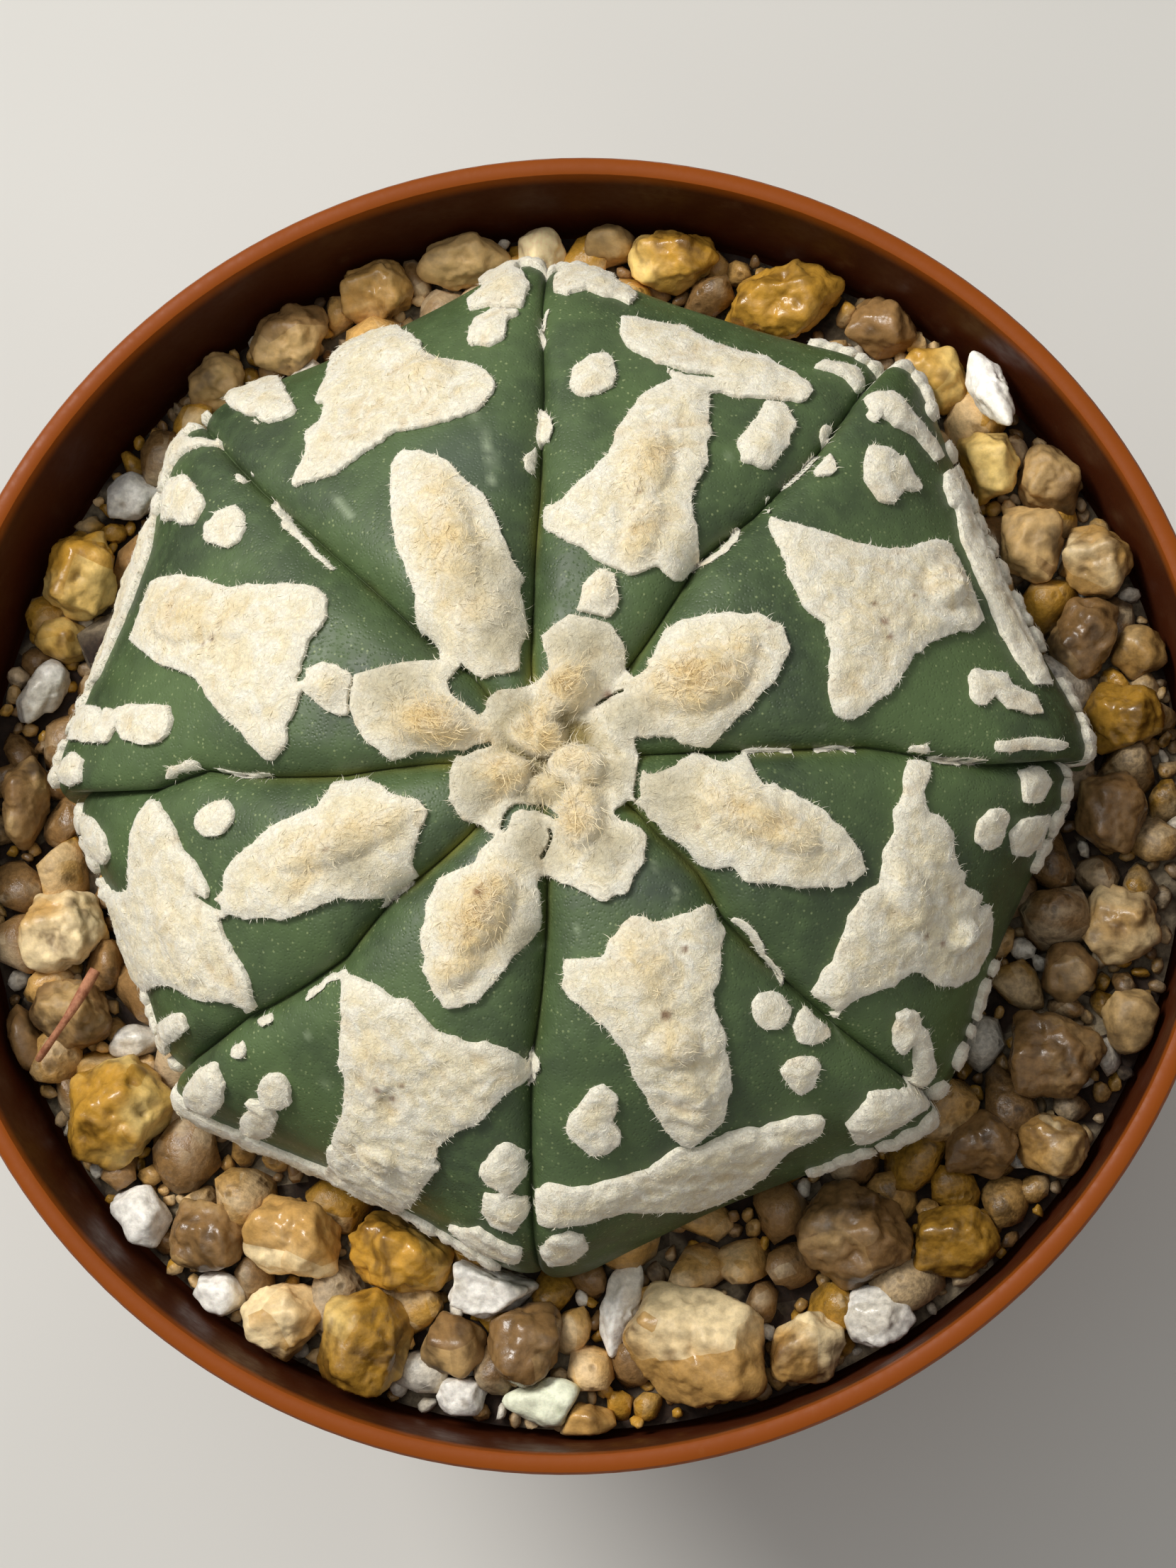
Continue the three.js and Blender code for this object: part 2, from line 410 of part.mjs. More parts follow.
// Point on the skin, raised by lift
function skin(azimuth, s, lift) {
  const u = Math.min(s / crestLength, 1);
  const { x: radius, y: height } = crest.getPointAt(u);
  const tangent = crest.getTangentAt(u);
  const { place, half } = placeInRib(azimuth, s);
  const fromGroove = (1 - Math.abs(place)) * half * radius;
  const roll = Math.min(fromGroove / along(GROOVE_ROLL, s), 1);
  const groove = along(GROOVE_DEPTH, s) * (1 - Math.sqrt(1 - (1 - roll) ** 2));
  const swell = along(RIB_SWELL, s) * (1 - place * place);
  const corner = along(RIB_CORNER, s) * radius * (1 / Math.cos(half * place) - 1);
  const out = swell + corner - groove + lift;
  const r = radius - tangent.y * out;
  const z = height + tangent.x * out;
  const lean = THREE.MathUtils.clamp(z / CREST[1][1], 0, 1);
  return new THREE.Vector3(
    PLANT.axis[0] + PLANT.lean[0] * lean + r * Math.cos(rad(azimuth)),
    PLANT.axis[1] + PLANT.lean[1] * lean + r * Math.sin(rad(azimuth)),
    PLANT.widest + z,
  );
}

// Whole plant body with its taproot, raised by lift all over
function plantBody(lift) {
  const positions = [];
  const index = [];
  const columns = GROOVES.length * PLANT.columns.length;
  positions.push(...skin(0, 0, lift).toArray());
  for (const s of PLANT.rows) {
    for (let rib = 0; rib < GROOVES.length; rib++) {
      const [low, high] = ribBounds(rib, s);
      for (const place of PLANT.columns) {
        positions.push(...skin(mix(low, high, (place + 1) / 2), s, lift).toArray());
      }
    }
  }
  positions.push(...PLANT.axis, PLANT.widest + CREST[CREST.length - 1][1] - lift);
  const last = positions.length / 3 - 1;
  for (let c = 0; c < columns; c++) {
    const next = (c + 1) % columns;
    index.push(0, 1 + c, 1 + next);
    for (let row = 0; row + 1 < PLANT.rows.length; row++) {
      const a = 1 + row * columns;
      const b = a + columns;
      index.push(a + c, b + c, b + next, a + c, b + next, a + next);
    }
    index.push(last - columns + c, last, last - columns + next);
  }
  const geometry = new THREE.BufferGeometry();
  geometry.setAttribute('position', new THREE.Float32BufferAttribute(positions, 3));
  geometry.setIndex(index);
  return geometry;
}

// Gentle unevenness of felt and grit, from -1 to 1
const unevenness = (x, y) => Math.sin(1.9 * x + 0.7 * y) * Math.cos(1.3 * y - 0.6 * x);

// Wool on the skin: an outline on the flat map, made thick and laid on the plant
function wool(outline, height) {
  const shape = new THREE.Shape(outline);
  const slab = new THREE.ExtrudeGeometry(shape, {
    depth: WOOL.sink + height - 2 * WOOL.bevel,
    steps: 1,
    bevelEnabled: true,
    bevelThickness: WOOL.bevel,
    bevelSize: WOOL.bevel,
    bevelOffset: -WOOL.bevel,
    bevelSegments: 1,
  });
  slab.translate(0, 0, WOOL.bevel - WOOL.sink);
  const fine = closed(new TessellateModifier(WOOL.maxEdge, WOOL.passes).modify(slab));
  const position = fine.attributes.position;
  for (let i = 0; i < position.count; i++) {
    const [x, y, h] = [position.getX(i), position.getY(i), position.getZ(i)];
    const s = Math.hypot(x, y);
    const grown = Math.max(0, 1 - s / WOOL.crownReach) * WOOL.crownHeight;
    const lift = h > 0 ? h + grown + WOOL.grain * unevenness(x, y) : h;
    position.setXYZ(i, ...skin(THREE.MathUtils.radToDeg(Math.atan2(y, x)), s, lift).toArray());
  }
  return solid(fine);
}

function padOutline(points) {
  const curve = new THREE.CatmullRomCurve3(points.map(([x, y]) => new THREE.Vector3(x, y, 0)), true);
  const sides = Math.max(WOOL.fewestSides, Math.round(curve.getLength() / WOOL.outlineStep));
  return curve.getSpacedPoints(sides).slice(0, sides).map(({ x, y }) => new THREE.Vector2(x, y));
}

function fleckOutline([x, y, length, width, turn]) {
  return Array.from({ length: WOOL.fleckSides }, (_, i) => {
    const angle = 2 * Math.PI * i / WOOL.fleckSides;
    const point = new THREE.Vector2(length * Math.cos(angle), width * Math.sin(angle));
    return point.rotateAround(new THREE.Vector2(), rad(turn)).add(new THREE.Vector2(x, y));
  });
}

function cactus() {
  const pads = PADS.map((points) => wool(padOutline(points), WOOL.height));
  const patches = PATCHES.map((points) => wool(padOutline(points), WOOL.fleckHeight));
  const flecks = FLECKS.map((fleck) => wool(fleckOutline(fleck), WOOL.fleckHeight));
  return finished(wasm.Manifold.union([solid(plantBody(0)), ...pads, ...patches, ...flecks]));
}

// Inner radius of the pot at a height
function potBore(z) {
  const shoulder = POT.height - POT.collarHeight;
  return along([
    [POT.floorTop, POT.baseRadius - POT.wall],
    [shoulder - POT.wall, POT.shoulder - POT.wall],
    [shoulder, POT.collarFoot - POT.rimWall],
    [POT.height, POT.rimRadius - POT.rimWall],
  ], z);
}

function pot() {
  const shoulder = POT.height - POT.collarHeight;
  const foot = POT.baseRadius - POT.footWidth;
  const body = solid(turned([
    [0, POT.recess],
    [foot, POT.recess],
    [foot + POT.chamfer, 0],
    [POT.baseRadius - POT.chamfer, 0],
    [POT.baseRadius, POT.chamfer],
    [POT.shoulder, shoulder - POT.chamfer],
    [POT.collarFoot, shoulder],
    [POT.rimRadius, POT.height - POT.chamfer],
    [POT.rimRadius - POT.chamfer / 2, POT.height],
    [POT.rimRadius - POT.rimWall + POT.chamfer / 3, POT.height],
    [potBore(POT.height - POT.chamfer), POT.height - POT.chamfer],
    [potBore(shoulder), shoulder],
    [potBore(shoulder - POT.wall), shoulder - POT.wall],
    [potBore(POT.floorTop), POT.floorTop],
    [0, POT.floorTop],
  ], POT.segments));
  const drill = new THREE.CylinderGeometry(POT.holeRadius, POT.holeRadius, 4 * POT.floorTop, POT.holeSides);
  drill.rotateX(Math.PI / 2).translate(POT.holeCircle, 0, 0);
  const holes = Array.from({ length: POT.holes }, (_, i) => (
    solid(drill.clone().rotateZ(2 * Math.PI * i / POT.holes))
  ));
  return wasm.Manifold.difference([body, ...holes]);
}

function pottingMix() {
  const bottom = POT.floorTop + GAP;
  const plug = solid(turned([
    [0, bottom],
    [potBore(bottom) - GAP, bottom],
    [potBore(MIX.top) - GAP, MIX.top],
    [0, MIX.top],
  ], POT.segments));
  return finished(plug.subtract(solid(plantBody(GAP))));
}

// Space inside the pot that its filling may take up, from the potting mix's top to the rim
function fillSpace(segments) {
  const bottom = MIX.top + GAP;
  const shoulder = POT.height - POT.collarHeight;
  return solid(turned([
    [0, bottom],
    [potBore(bottom) - GAP, bottom],
    [potBore(shoulder - POT.wall) - GAP, shoulder - POT.wall],
    [potBore(shoulder) - GAP, shoulder + GAP],
    [potBore(POT.height) - GAP, POT.height],
    [0, POT.height],
  ], segments));
}

// Points of an angular stone, long and broad in plan, turned, tilted and set in place
function stonePoints(draw, place, half, turn, tilt, count) {
  const attitude = new THREE.Euler(0, rad(tilt), rad(turn), 'ZYX');
  return Array.from({ length: count }, (_, i) => {
    const up = 1 - (2 * i + 1) / count;
    const around = i * GOLDEN_ANGLE + STONE.swirl * draw();
    const ring = Math.sqrt(1 - up * up);
    const reach = between(draw, STONE.roughness);
    return new THREE.Vector3(ring * Math.cos(around), ring * Math.sin(around), up)
      .multiply(half).multiplyScalar(reach).applyEuler(attitude).add(place);
  });
}

const hull = (points) => solid(new ConvexGeometry(points));

// Loose stones: kept inside the pot, cut flat where two would meet and cut clear of the plant
function looseStones() {
  const draw = random(GRIT.seed);
  const stones = STONES.map(([x, y, length, width, turn, height, colour, lift = 0, tilt = 0]) => {
    const half = new THREE.Vector3(length, width, height).multiplyScalar(STONE.scale / 2);
    const place = new THREE.Vector3(x, y, GRIT.level + half.z - STONE.sink + lift);
    const outward = Math.atan2(y, x) - rad(turn);
    const reach = Math.hypot(half.x * Math.cos(outward), half.y * Math.sin(outward)) * STONE.roughness[0];
    const limit = potBore(place.z) - reach;
    const radius = Math.hypot(x, y);
    if (radius > limit) place.multiply(new THREE.Vector3(limit / radius, limit / radius, 1));
    const points = stonePoints(draw, place, half, turn, tilt, STONE.points);
    return { place, half, turn, points, colour };
  });
  const plant = solid(plantBody(STONE.plantClearance));
  const space = fillSpace(POT.segments);
  const reachTo = (stone, direction) => {
    const local = direction.clone().applyAxisAngle(UP, -rad(stone.turn));
    return 1 / Math.hypot(local.x / stone.half.x, local.y / stone.half.y, local.z / stone.half.z);
  };
  return stones.map((stone) => {
    let body = hull(stone.points).intersect(space);
    for (const other of stones) {
      if (other === stone) continue;
      const direction = other.place.clone().sub(stone.place);
      const distance = direction.length();
      direction.normalize();
      const mine = reachTo(stone, direction) * STONE.roughness[1];
      const theirs = reachTo(other, direction) * STONE.roughness[1];
      if (mine + theirs + GAP < distance) continue;
      const cut = distance * mine / (mine + theirs) - GAP / 2 + direction.dot(stone.place);
      body = body.trimByPlane(direction.clone().negate().toArray(), -cut);
    }
    return { ...stone, body: finished(body.subtract(plant)) };
  });
}

// Bed of small grit round the plant, with a hollow under each loose stone
function gritBed(stones) {
  const draw = random(GRIT.seed + 1);
  const edge = potBore(POT.height);
  const disc = turned([
    [0, MIX.top],
    [edge, MIX.top],
    [edge, GRIT.level],
    ...GRIT.rings.map((part) => [mix(edge, GRIT.hiddenRadius, part), GRIT.level]),
    [GRIT.hiddenRadius, GRIT.level],
    [0, GRIT.level],
  ], GRIT.segments);
  const position = disc.attributes.position;
  for (let i = 0; i < position.count; i++) {
    if (position.getZ(i) < GRIT.level) continue;
    position.setZ(i, GRIT.level + GRIT.bump * unevenness(position.getX(i), position.getY(i)));
  }
  const grains = Array.from({ length: GRIT.loose }, () => {
    const radius = between(draw, GRIT.looseRadius);
    const angle = 2 * Math.PI * draw();
    const distance = mix(GRIT.looseFrom, potBore(POT.height) - GAP - radius, Math.sqrt(draw()));
    const place = new THREE.Vector3(
      distance * Math.cos(angle),
      distance * Math.sin(angle),
      GRIT.level + between(draw, GRIT.looseLift),
    );
    const half = new THREE.Vector3(1, between(draw, GRIT.looseFlatness), between(draw, GRIT.looseFlatness));
    const turn = 180 * draw();
    const points = stonePoints(draw, place, half.multiplyScalar(radius), turn, 0, GRIT.loosePoints);
    const covered = stones.some(({ place: p, half: h }) => (
      Math.hypot(p.x - place.x, p.y - place.y) < GRIT.covered * Math.min(h.x, h.y)
    ));
    return covered ? null : hull(points);
  }).filter(Boolean);
  const hollows = stones.map(({ points, place }) => hull(points.map((point) => {
    const outward = point.clone().sub(place);
    return point.clone().addScaledVector(outward.normalize(), GRIT.hollow);
  })));
  const bed = wasm.Manifold.union([solid(disc), ...grains]).intersect(fillSpace(GRIT.segments));
  return finished(wasm.Manifold.difference([bed, solid(plantBody(STONE.plantClearance)), ...hollows]));
}

// Thin dry root lying on the stones at the plant's lower left
function dryRoot() {
  const curve = new THREE.CatmullRomCurve3(DRY_ROOT.path.map((point) => new THREE.Vector3(...point)));
  const section = new THREE.Shape(Array.from({ length: DRY_ROOT.sides }, (_, i) => {
    const angle = 2 * Math.PI * i / DRY_ROOT.sides;
    return new THREE.Vector2(DRY_ROOT.halfWidth * Math.cos(angle), DRY_ROOT.halfWidth * Math.sin(angle));
  }));
  return solid(new THREE.ExtrudeGeometry(section, { extrudePath: curve, steps: DRY_ROOT.steps }));
}

// Assembly
const group = new THREE.Group();
function add(name, manifold, surface) {
  const [color, roughness] = SURFACES[surface];
  const material = new THREE.MeshStandardMaterial({ color, roughness, metalness: 0 });
  const mesh = new THREE.Mesh(geometryOf(manifold), material);
  mesh.name = name;
  group.add(mesh);
}

const stones = looseStones();
add('pot', pot(), 'pot');
add('potting_mix', pottingMix(), 'mix');
add('grit_bed', gritBed(stones), 'grit');
add('cactus', cactus(), 'skin');
add('dry_root', dryRoot(), 'root');
stones.forEach(({ body, colour }, i) => add(`stone_${String(i + 1).padStart(2, '0')}`, body, colour));

export default group;
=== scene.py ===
import json
import math

import bmesh
import bpy
import numpy as np
from mathutils import Matrix, Vector
from mathutils.bvhtree import BVHTree


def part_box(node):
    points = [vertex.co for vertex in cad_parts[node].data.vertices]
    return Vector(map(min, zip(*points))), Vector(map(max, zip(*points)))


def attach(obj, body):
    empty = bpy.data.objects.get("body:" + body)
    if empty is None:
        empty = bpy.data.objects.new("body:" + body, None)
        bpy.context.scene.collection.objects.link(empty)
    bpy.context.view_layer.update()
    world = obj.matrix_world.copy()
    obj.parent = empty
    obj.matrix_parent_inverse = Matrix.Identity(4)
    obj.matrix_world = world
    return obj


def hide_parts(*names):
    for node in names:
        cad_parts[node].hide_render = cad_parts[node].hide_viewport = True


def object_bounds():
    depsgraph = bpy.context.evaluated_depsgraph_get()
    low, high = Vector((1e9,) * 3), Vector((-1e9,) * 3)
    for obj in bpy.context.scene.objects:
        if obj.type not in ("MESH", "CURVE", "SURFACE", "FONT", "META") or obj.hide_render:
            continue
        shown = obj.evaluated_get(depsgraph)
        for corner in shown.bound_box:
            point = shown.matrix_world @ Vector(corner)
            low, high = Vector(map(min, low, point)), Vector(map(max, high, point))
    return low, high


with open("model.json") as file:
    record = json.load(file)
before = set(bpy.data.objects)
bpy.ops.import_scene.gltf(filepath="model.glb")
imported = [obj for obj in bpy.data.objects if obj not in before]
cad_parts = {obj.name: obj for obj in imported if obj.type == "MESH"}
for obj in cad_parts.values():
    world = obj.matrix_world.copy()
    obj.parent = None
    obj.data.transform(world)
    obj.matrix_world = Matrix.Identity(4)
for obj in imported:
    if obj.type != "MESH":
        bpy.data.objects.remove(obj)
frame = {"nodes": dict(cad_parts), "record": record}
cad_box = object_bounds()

bl_info = {
    "name": "Potted sand dollar cactus",
    "version": (1, 0, 0),
    "blender": (4, 5, 0),
    "location": "3D View > Sidebar > Cactus",
    "description": "Builds a potted sand dollar cactus round its CAD frame",
    "category": "Add Mesh",
}

MM = 0.001

# Lengths in the tables and the functions are in millimetres. A point (x, y) of the flat map lies at
# the distance |(x, y)| from the crown, measured along the skin, and at the azimuth of (x, y).

# Foot of the plant's axis, height of its widest ring, and how far its crown leans over
AXIS = (-0.23, 2.63)
WIDEST = 59.0
LEAN = (0.1, -2.4)

# Crest of a rib from the crown to the taproot's tip: radius, and height above the widest ring
CREST = [
    [0, 10.1], [3.5, 10.5], [8, 10.4], [13, 9.3], [17.6, 7.1], [21.6, 4.1], [24.3, 0.9], [25.3, -2.6],
    [24.8, -6.6], [21.5, -10.5], [14.5, -14.5], [7.5, -18.5], [4, -25], [1.5, -35], [0, -38],
]

# Azimuth in degrees of each groove, by the distance from the crown
GROOVES = [
    [[5, 2], [12, 1.2], [17, 0.8], [20, -1], [24, -2.4], [30, -2]],
    [[5, 44], [10, 49], [13, 51], [17, 48.5], [22, 47.8], [27, 49]],
    [[5, 94], [8, 92], [14, 90.5], [20, 90.5], [26, 91.5]],
    [[5, 127], [9, 133], [16, 135.5], [22, 136.8], [30, 137]],
    [[5, 181], [10, 184], [15, 183], [18.3, 181.6], [22, 184.3], [30, 184.2]],
    [[5, 227], [10, 223.5], [14.5, 225.5], [18, 223.5], [22, 221.2], [28, 220.6]],
    [[4, 276], [8, 273], [12, 270.5], [16, 268], [26, 267.7]],
    [[4, 336], [7.2, 327], [10, 323.5], [12.5, 318], [16, 316.5], [22, 316]],
]

# By the distance from the crown: how deep the grooves are and how wide their shoulders, how far the
# ribs swell, how much the corners of a polygon stand out between the grooves, and how dark the
# grooves' lines are
GROOVE_DEPTH = [[0, 0], [3, 0.5], [8, 1.5], [15, 2.1], [26, 2.6], [34, 2.2], [42, 1], [50, 0]]
GROOVE_ROLL = [[0, 0.5], [3, 0.9], [8, 1.7], [15, 2.4], [26, 3], [34, 3]]
RIB_SWELL = [[0, 0], [5, 0.5], [14, 0.9], [22, 0.5], [28, 0]]
RIB_CORNER = [[0, 0], [8, 0], [16, 0.35], [24, 1], [30, 1.35], [38, 1.35], [50, 0]]

GROOVE_SHADE = [[0, 0.3], [4, 0.8], [12, 0.5], [18, 0.12], [30, 0]]

# Share of the grooves' depth that is kept
GROOVE_SHARE = 0.72

# Half the side of the square of the flat map that the wool is laid on, and that hairs root in
MAP = 31.5
HAIR_MAP = 31

# Wool: how far round a line the map is changed, how much less it covers than its outlines, and
# hairs over the edge on each square millimetre
AROUND, SHRINK, EDGE_HAIRS = 1.6, 0.07, 110

# Outlines of the wool on the flat map, larger ones first: x and y of each point in turn
WOOL = [
    [-24.3, 6.9, -20.8, 5.2, -19.1, 4.8, -18, 4.3, -17.4, 3.5, -14.9, 1.4, -13.9, 0.1, -13.4, 0.1,
     -12.5, 1, -12.5, 2, -12.1, 2.4, -11.6, 3.6, -10.4, 2.5, -9.2, 2.2, -8.6, 1.1, -7.2, 0, -6.1, 0.4,
     -3.9, 0.5, -3.9, 0.4, -4.3, 0, -4.4, -0.6, -4.4, -2, -3.8, -3, -3, -3.2, -2.1, -3.8, -2.9, -4.6,
     -3.1, -5.1, -4.9, -5.8, -5.4, -7, -5.7, -8.5, -5.5, -9.8, -5.6, -10.3, -4.4, -12.2, -2.8, -11.8,
     -2, -11, -1.1, -9.8, 0.3, -8.5, 0.3, -6.9, 0.1, -6.3, 0.2, -5.9, 0.7, -5.8, 1.2, -6.2, 3.1, -7.1,
     3.6, -7.1, 4, -6.8, 4.3, -6.9, 4.6, -6.6, 5.4, -5.1, 5.5, -3.8, 5.2, -3.4, 4.3, -3.1, 4, -2.7, 4,
     -2.5, 4.6, -2.1, 5.3, -2.7, 5.5, -3.1, 5.9, -3.3, 6.3, -3.9, 7.1, -4.3, 8.1, -5.5, 9.5, -5.5, 10.2,
     -6.2, 11.8, -6.3, 12.8, -6.6, 15.1, -6.7, 15.2, -6.4, 15.5, -6.5, 16.3, -5.8, 15.9, -4.7, 15.2,
     -3.8, 14.1, -2.7, 12.4, -1.6, 12.1, -1.6, 11.7, -1.2, 11.2, -1.3, 10.8, -0.8, 10.6, 0.2, 10, 0.2,
     9.4, -0.2, 8.3, 0.2, 11.7, 3.7, 12.5, 5.4, 12.1, 6.6, 11.7, 6.7, 10.8, 7.3, 10.2, 7.2, 9.2, 7.3,
     8.7, 7.2, 8.4, 7.3, 8, 7.1, 7.2, 7.1, 6.3, 6.6, 5.7, 5.1, 5.4, 5, 5.5, 4.6, 5.2, 4.3, 4.8, 4.1,
     4.5, 4.6, 4.5, 5.5, 3.9, 6.5, 3.5, 6.8, 4.1, 7.5, 4.2, 8, 3.9, 9.3, 4.6, 9.1, 5.9, 9.6, 6.8, 9,
     7.3, 9, 8.3, 10.2, 7.7, 13.1, 8, 14.1, 8.6, 15.2, 8.6, 16.4, 8.9, 16.9, 8.7, 17.6, 8.8, 19.6, 9.3,
     19.7, 10, 19.4, 11.2, 19.3, 11.7, 19.1, 11.6, 18.7, 10.2, 16.7, 10.1, 16.3, 10.3, 15.3, 11.4, 15,
     12, 15.1, 13, 16.4, 13, 17, 13.4, 17.4, 13.4, 17.8, 12.9, 18.8, 14.2, 19.3, 14.5, 19.8, 14.5, 20.2,
     13.8, 21, 13.7, 21.2, 12.7, 21.9, 12.3, 22.6, 10.3, 23.1, 9.3, 23.5, 7.6, 24.9, 6, 24.8, 4.6, 25,
     4.1, 24.9, 3.9, 24.8, 3.8, 23.7, 4.2, 22.7, 4.6, 22.3, 5.6, 21.9, 6.8, 20.5, 5, 19.2, 3.7, 16.9,
     3.4, 15.6, 2.7, 14.8, 1.1, 13.3, 0.1, 13.1, 0.1, 12, 0.9, 11.3, 2.2, 10.6, 3.1, 9.5, 2.3, 8.7, 2,
     7.5, 0.1, 6.2, 0.6, 4.9, 0.6, 4.6, 0.1, 4.1, -1, 3.6, -2, 3.6, -2.5, 3.2, -2.8, 2.3, -3.8, 3, -4.3,
     3.6, -4.4, 4, -3.8, 4.9, -3.6, 4.6, -2.6, 4.1, -1.1, 4.4, -0.8, 4.6, -0.7, 5, -0.7, 5.8, -0.4, 6.6,
     -0.8, 8.6, -0.6, 9.4, -1.2, 10.3, -2, 12.3, -2.8, 13.6, -4.7, 15.5, -6.3, 16.2, -7.2, 16.3, -7.9,
     15.5, -7.5, 12.4, -7.2, 11, -6.1, 8.4, -6.3, 7, -6, 6.5, -5.8, 6.5, -5.4, 6.2, -4.9, 5.3, -5, 5.2,
     -7.2, 5, -8.9, 4.4, -9.9, 5, -10.6, 5.2, -11.5, 4.7, -11.5, 4.3, -11.9, 4.2, -12, 4.4, -11.7, 4.7,
     -11.7, 5, -11.5, 5.6, -11.4, 6.2, -10.8, 6.9, -10.6, 7.4, -10.6, 8.4, -11.2, 9.1, -12, 9.3, -14,
     9.3, -15.4, 9.5, -16.4, 9.3, -18.9, 10.1, -21.4, 10.5, -23.1, 10.3],
    [0.1, -15.4, -0.1, -15.3, -0.6, -15.8, -1.2, -14.7, -1.8, -14.3, -2.5, -13.9, -3.3, -13.9, -4.1,
     -13.5, -4.8, -13.4, -5.2, -13.1, -6.2, -11.7, -7, -11.6, -8, -11, -8.8, -10.8, -10.2, -10.9, -10,
     -12.6, -10.4, -15.6, -10.2, -16.3, -10.4, -17.5, -10.8, -18.9, -12, -21.1, -12.1, -21.9, -12.6,
     -22.1, -13.2, -24.1, -14.2, -25.7, -15.8, -25.2, -18.3, -23.6, -21.3, -20.6, -21.2, -20.5, -19.6,
     -20.9, -18.2, -19.5, -17.5, -17.7, -17.8, -16.5, -18.7, -16.7, -19.4, -17.2, -20.6, -18.6, -21.4,
     -20.3, -22, -19.9, -23.6, -19.5, -23.7, -19.6, -22.9, -22.5, -20.4, -25, -17.9, -26.8, -14.4,
     -28.4, -13.7, -28.2, -13.1, -28.8, -10.4, -28.8, -8.4, -26.9, -7.3, -24.6, -5.6, -21.8, -5.8,
     -21.5, -5.5, -21.1, -5.5, -20.5, -5.1, -19.9, -4.3, -19.2, -3.3, -18.8, -2.4, -17.7, -1.6, -17,
     -1.1, -16.8, -0.7, -16.9, -0.3, -16.6],
    [-5.3, -2.5, -5.8, -1.9, -6.9, -1.6, -7.9, -0.9, -8.8, -0.7, -10.5, -0.9, -10.6, -1.4, -11.1, -2.1,
     -13.4, -3, -16, -5.3, -16.3, -6.5, -16.7, -6.8, -16.9, -7.1, -16.8, -7.5, -17, -7.6, -17.3, -7.4,
     -17.2, -6.8, -17.4, -6.1, -18.1, -5.1, -18.8, -4.6, -19.6, -3.2, -21, -2.1, -22, -2.1, -22, -2.4,
     -22.4, -2.8, -23.7, -7, -24.2, -7.6, -27, -8.2, -28.6, -9.6, -28.6, -12.4, -27, -14.6, -24.6,
     -14.4, -22.4, -13.1, -21, -12.7, -18.9, -13.1, -16.5, -12.9, -16.1, -13.3, -16.1, -13.7, -16,
     -13.8, -15.4, -13.4, -15.2, -12.1, -15.2, -11, -16.5, -8.8, -16.6, -8.1, -15.9, -7.8, -15, -8,
     -13.5, -7.8, -12.8, -7.9, -9.7, -6.7, -7.5, -7, -6.2, -6, -5.9, -6.1, -6.1, -5],
    [8.4, -7.3, 5.7, -8, 5.3, -7.7, 4.7, -7.6, 3.5, -8.9, 3.2, -9.6, 1.4, -9.8, 1.3, -10, 1.3, -10.7,
     1.2, -11.3, 1.5, -11.7, 2, -12, 3.6, -13.5, 4.3, -14.8, 4.5, -15.7, 6, -19.2, 7, -20.8, 5.4, -22.2,
     4.1, -22.5, 2.1, -22.7, 0, -22.4, -0.7, -23.4, -0.8, -24.4, -0.6, -25.3, 4.1, -25.3, 6.8, -26.8,
     8.1, -28, 9.4, -27.8, 11.1, -27, 12.2, -25.3, 12.7, -23.6, 13.2, -22.4, 14.6, -21.3, 14.7, -20.4,
     14.7, -19.9, 14.5, -19.7, 13.1, -19.6, 12.8, -19.8, 11.8, -20, 11.4, -20.3, 10.7, -20.1, 9.8,
     -20.3, 9, -20.6, 8.6, -20.4, 8.1, -21, 7.8, -20.9, 9.2, -19.4, 9.7, -16.9, 9.3, -14.7, 9.3, -13.9,
     8.7, -12.5, 8.6, -11.6, 9, -10.9, 9.1, -9.5, 9.5, -8.8, 9.1, -8.3, 9, -7.8],
    [-14.3, 26.2, -14.3, 25.7, -13.3, 22.4, -13.4, 20.1, -12.8, 20, -12.6, 19.3, -12.6, 18.6, -13.3, 18,
     -12.9, 16.6, -13.4, 15.1, -13.4, 14.6, -11, 15.1, -9.5, 16.3, -9, 16.5, -8.8, 16.8, -8.4, 17, -8.3,
     17.4, -7.8, 17.1, -8, 17.4, -7.9, 17.5, -6, 17.6, -3.5, 18.4, -3.1, 18.7, -2.9, 19.2, -2.6, 19.4,
     -2.5, 20, -3, 20.7, -4.6, 21.8, -6.1, 22.2, -7.1, 23, -7.4, 23.5, -7.5, 24, -7.9, 24.2, -9.8, 26.6,
     -12.4, 27.2],
    [19.1, -0.4, 18.6, -1.1, 18.3, -2.1, 17.8, -2.9, 17.8, -4.1, 17.2, -4.9, 17, -6.7, 16.2, -7, 15.8,
     -7.6, 15.4, -8.2, 14.6, -10.6, 14.2, -10.9, 14, -11.3, 13.8, -12.3, 13.9, -12.9, 15.3, -14.4, 15.4,
     -13.5, 15.8, -12.9, 17.1, -12.5, 18.1, -12.5, 19.1, -11.9, 19.8, -12.1, 20.8, -13, 22.4, -13.7,
     24.6, -13.6, 25.6, -12.2, 25.3, -10.6, 24.7, -9.1, 23.7, -9.2, 23.9, -8.3, 22.3, -7.4, 22.4, -6.8,
     21.9, -6.4, 21.5, -5.7, 21.3, -4.3, 20.3, -3.3, 19.8, -3.1, 19.5, -2.1, 20.4, -0.6],
    [11.7, 12.9, 11.7, 11.5, 12.4, 9.6, 12.4, 9, 12.7, 8.6, 12.8, 8, 13.3, 7.3, 13.9, 6.9, 14.3, 6.5,
     14.2, 6.2, 14.4, 5.7, 14.3, 3.1, 14.7, 2, 15.2, 1.7, 15.8, 1.7, 16.6, 2.4, 17.7, 3, 19.2, 5, 19.6,
     5.1, 20, 5.5, 22.3, 6.3, 22.9, 6.3, 24.2, 7, 23.6, 9.2, 22.5, 11.4, 21.3, 11.7, 18.8, 10.8, 17.4,
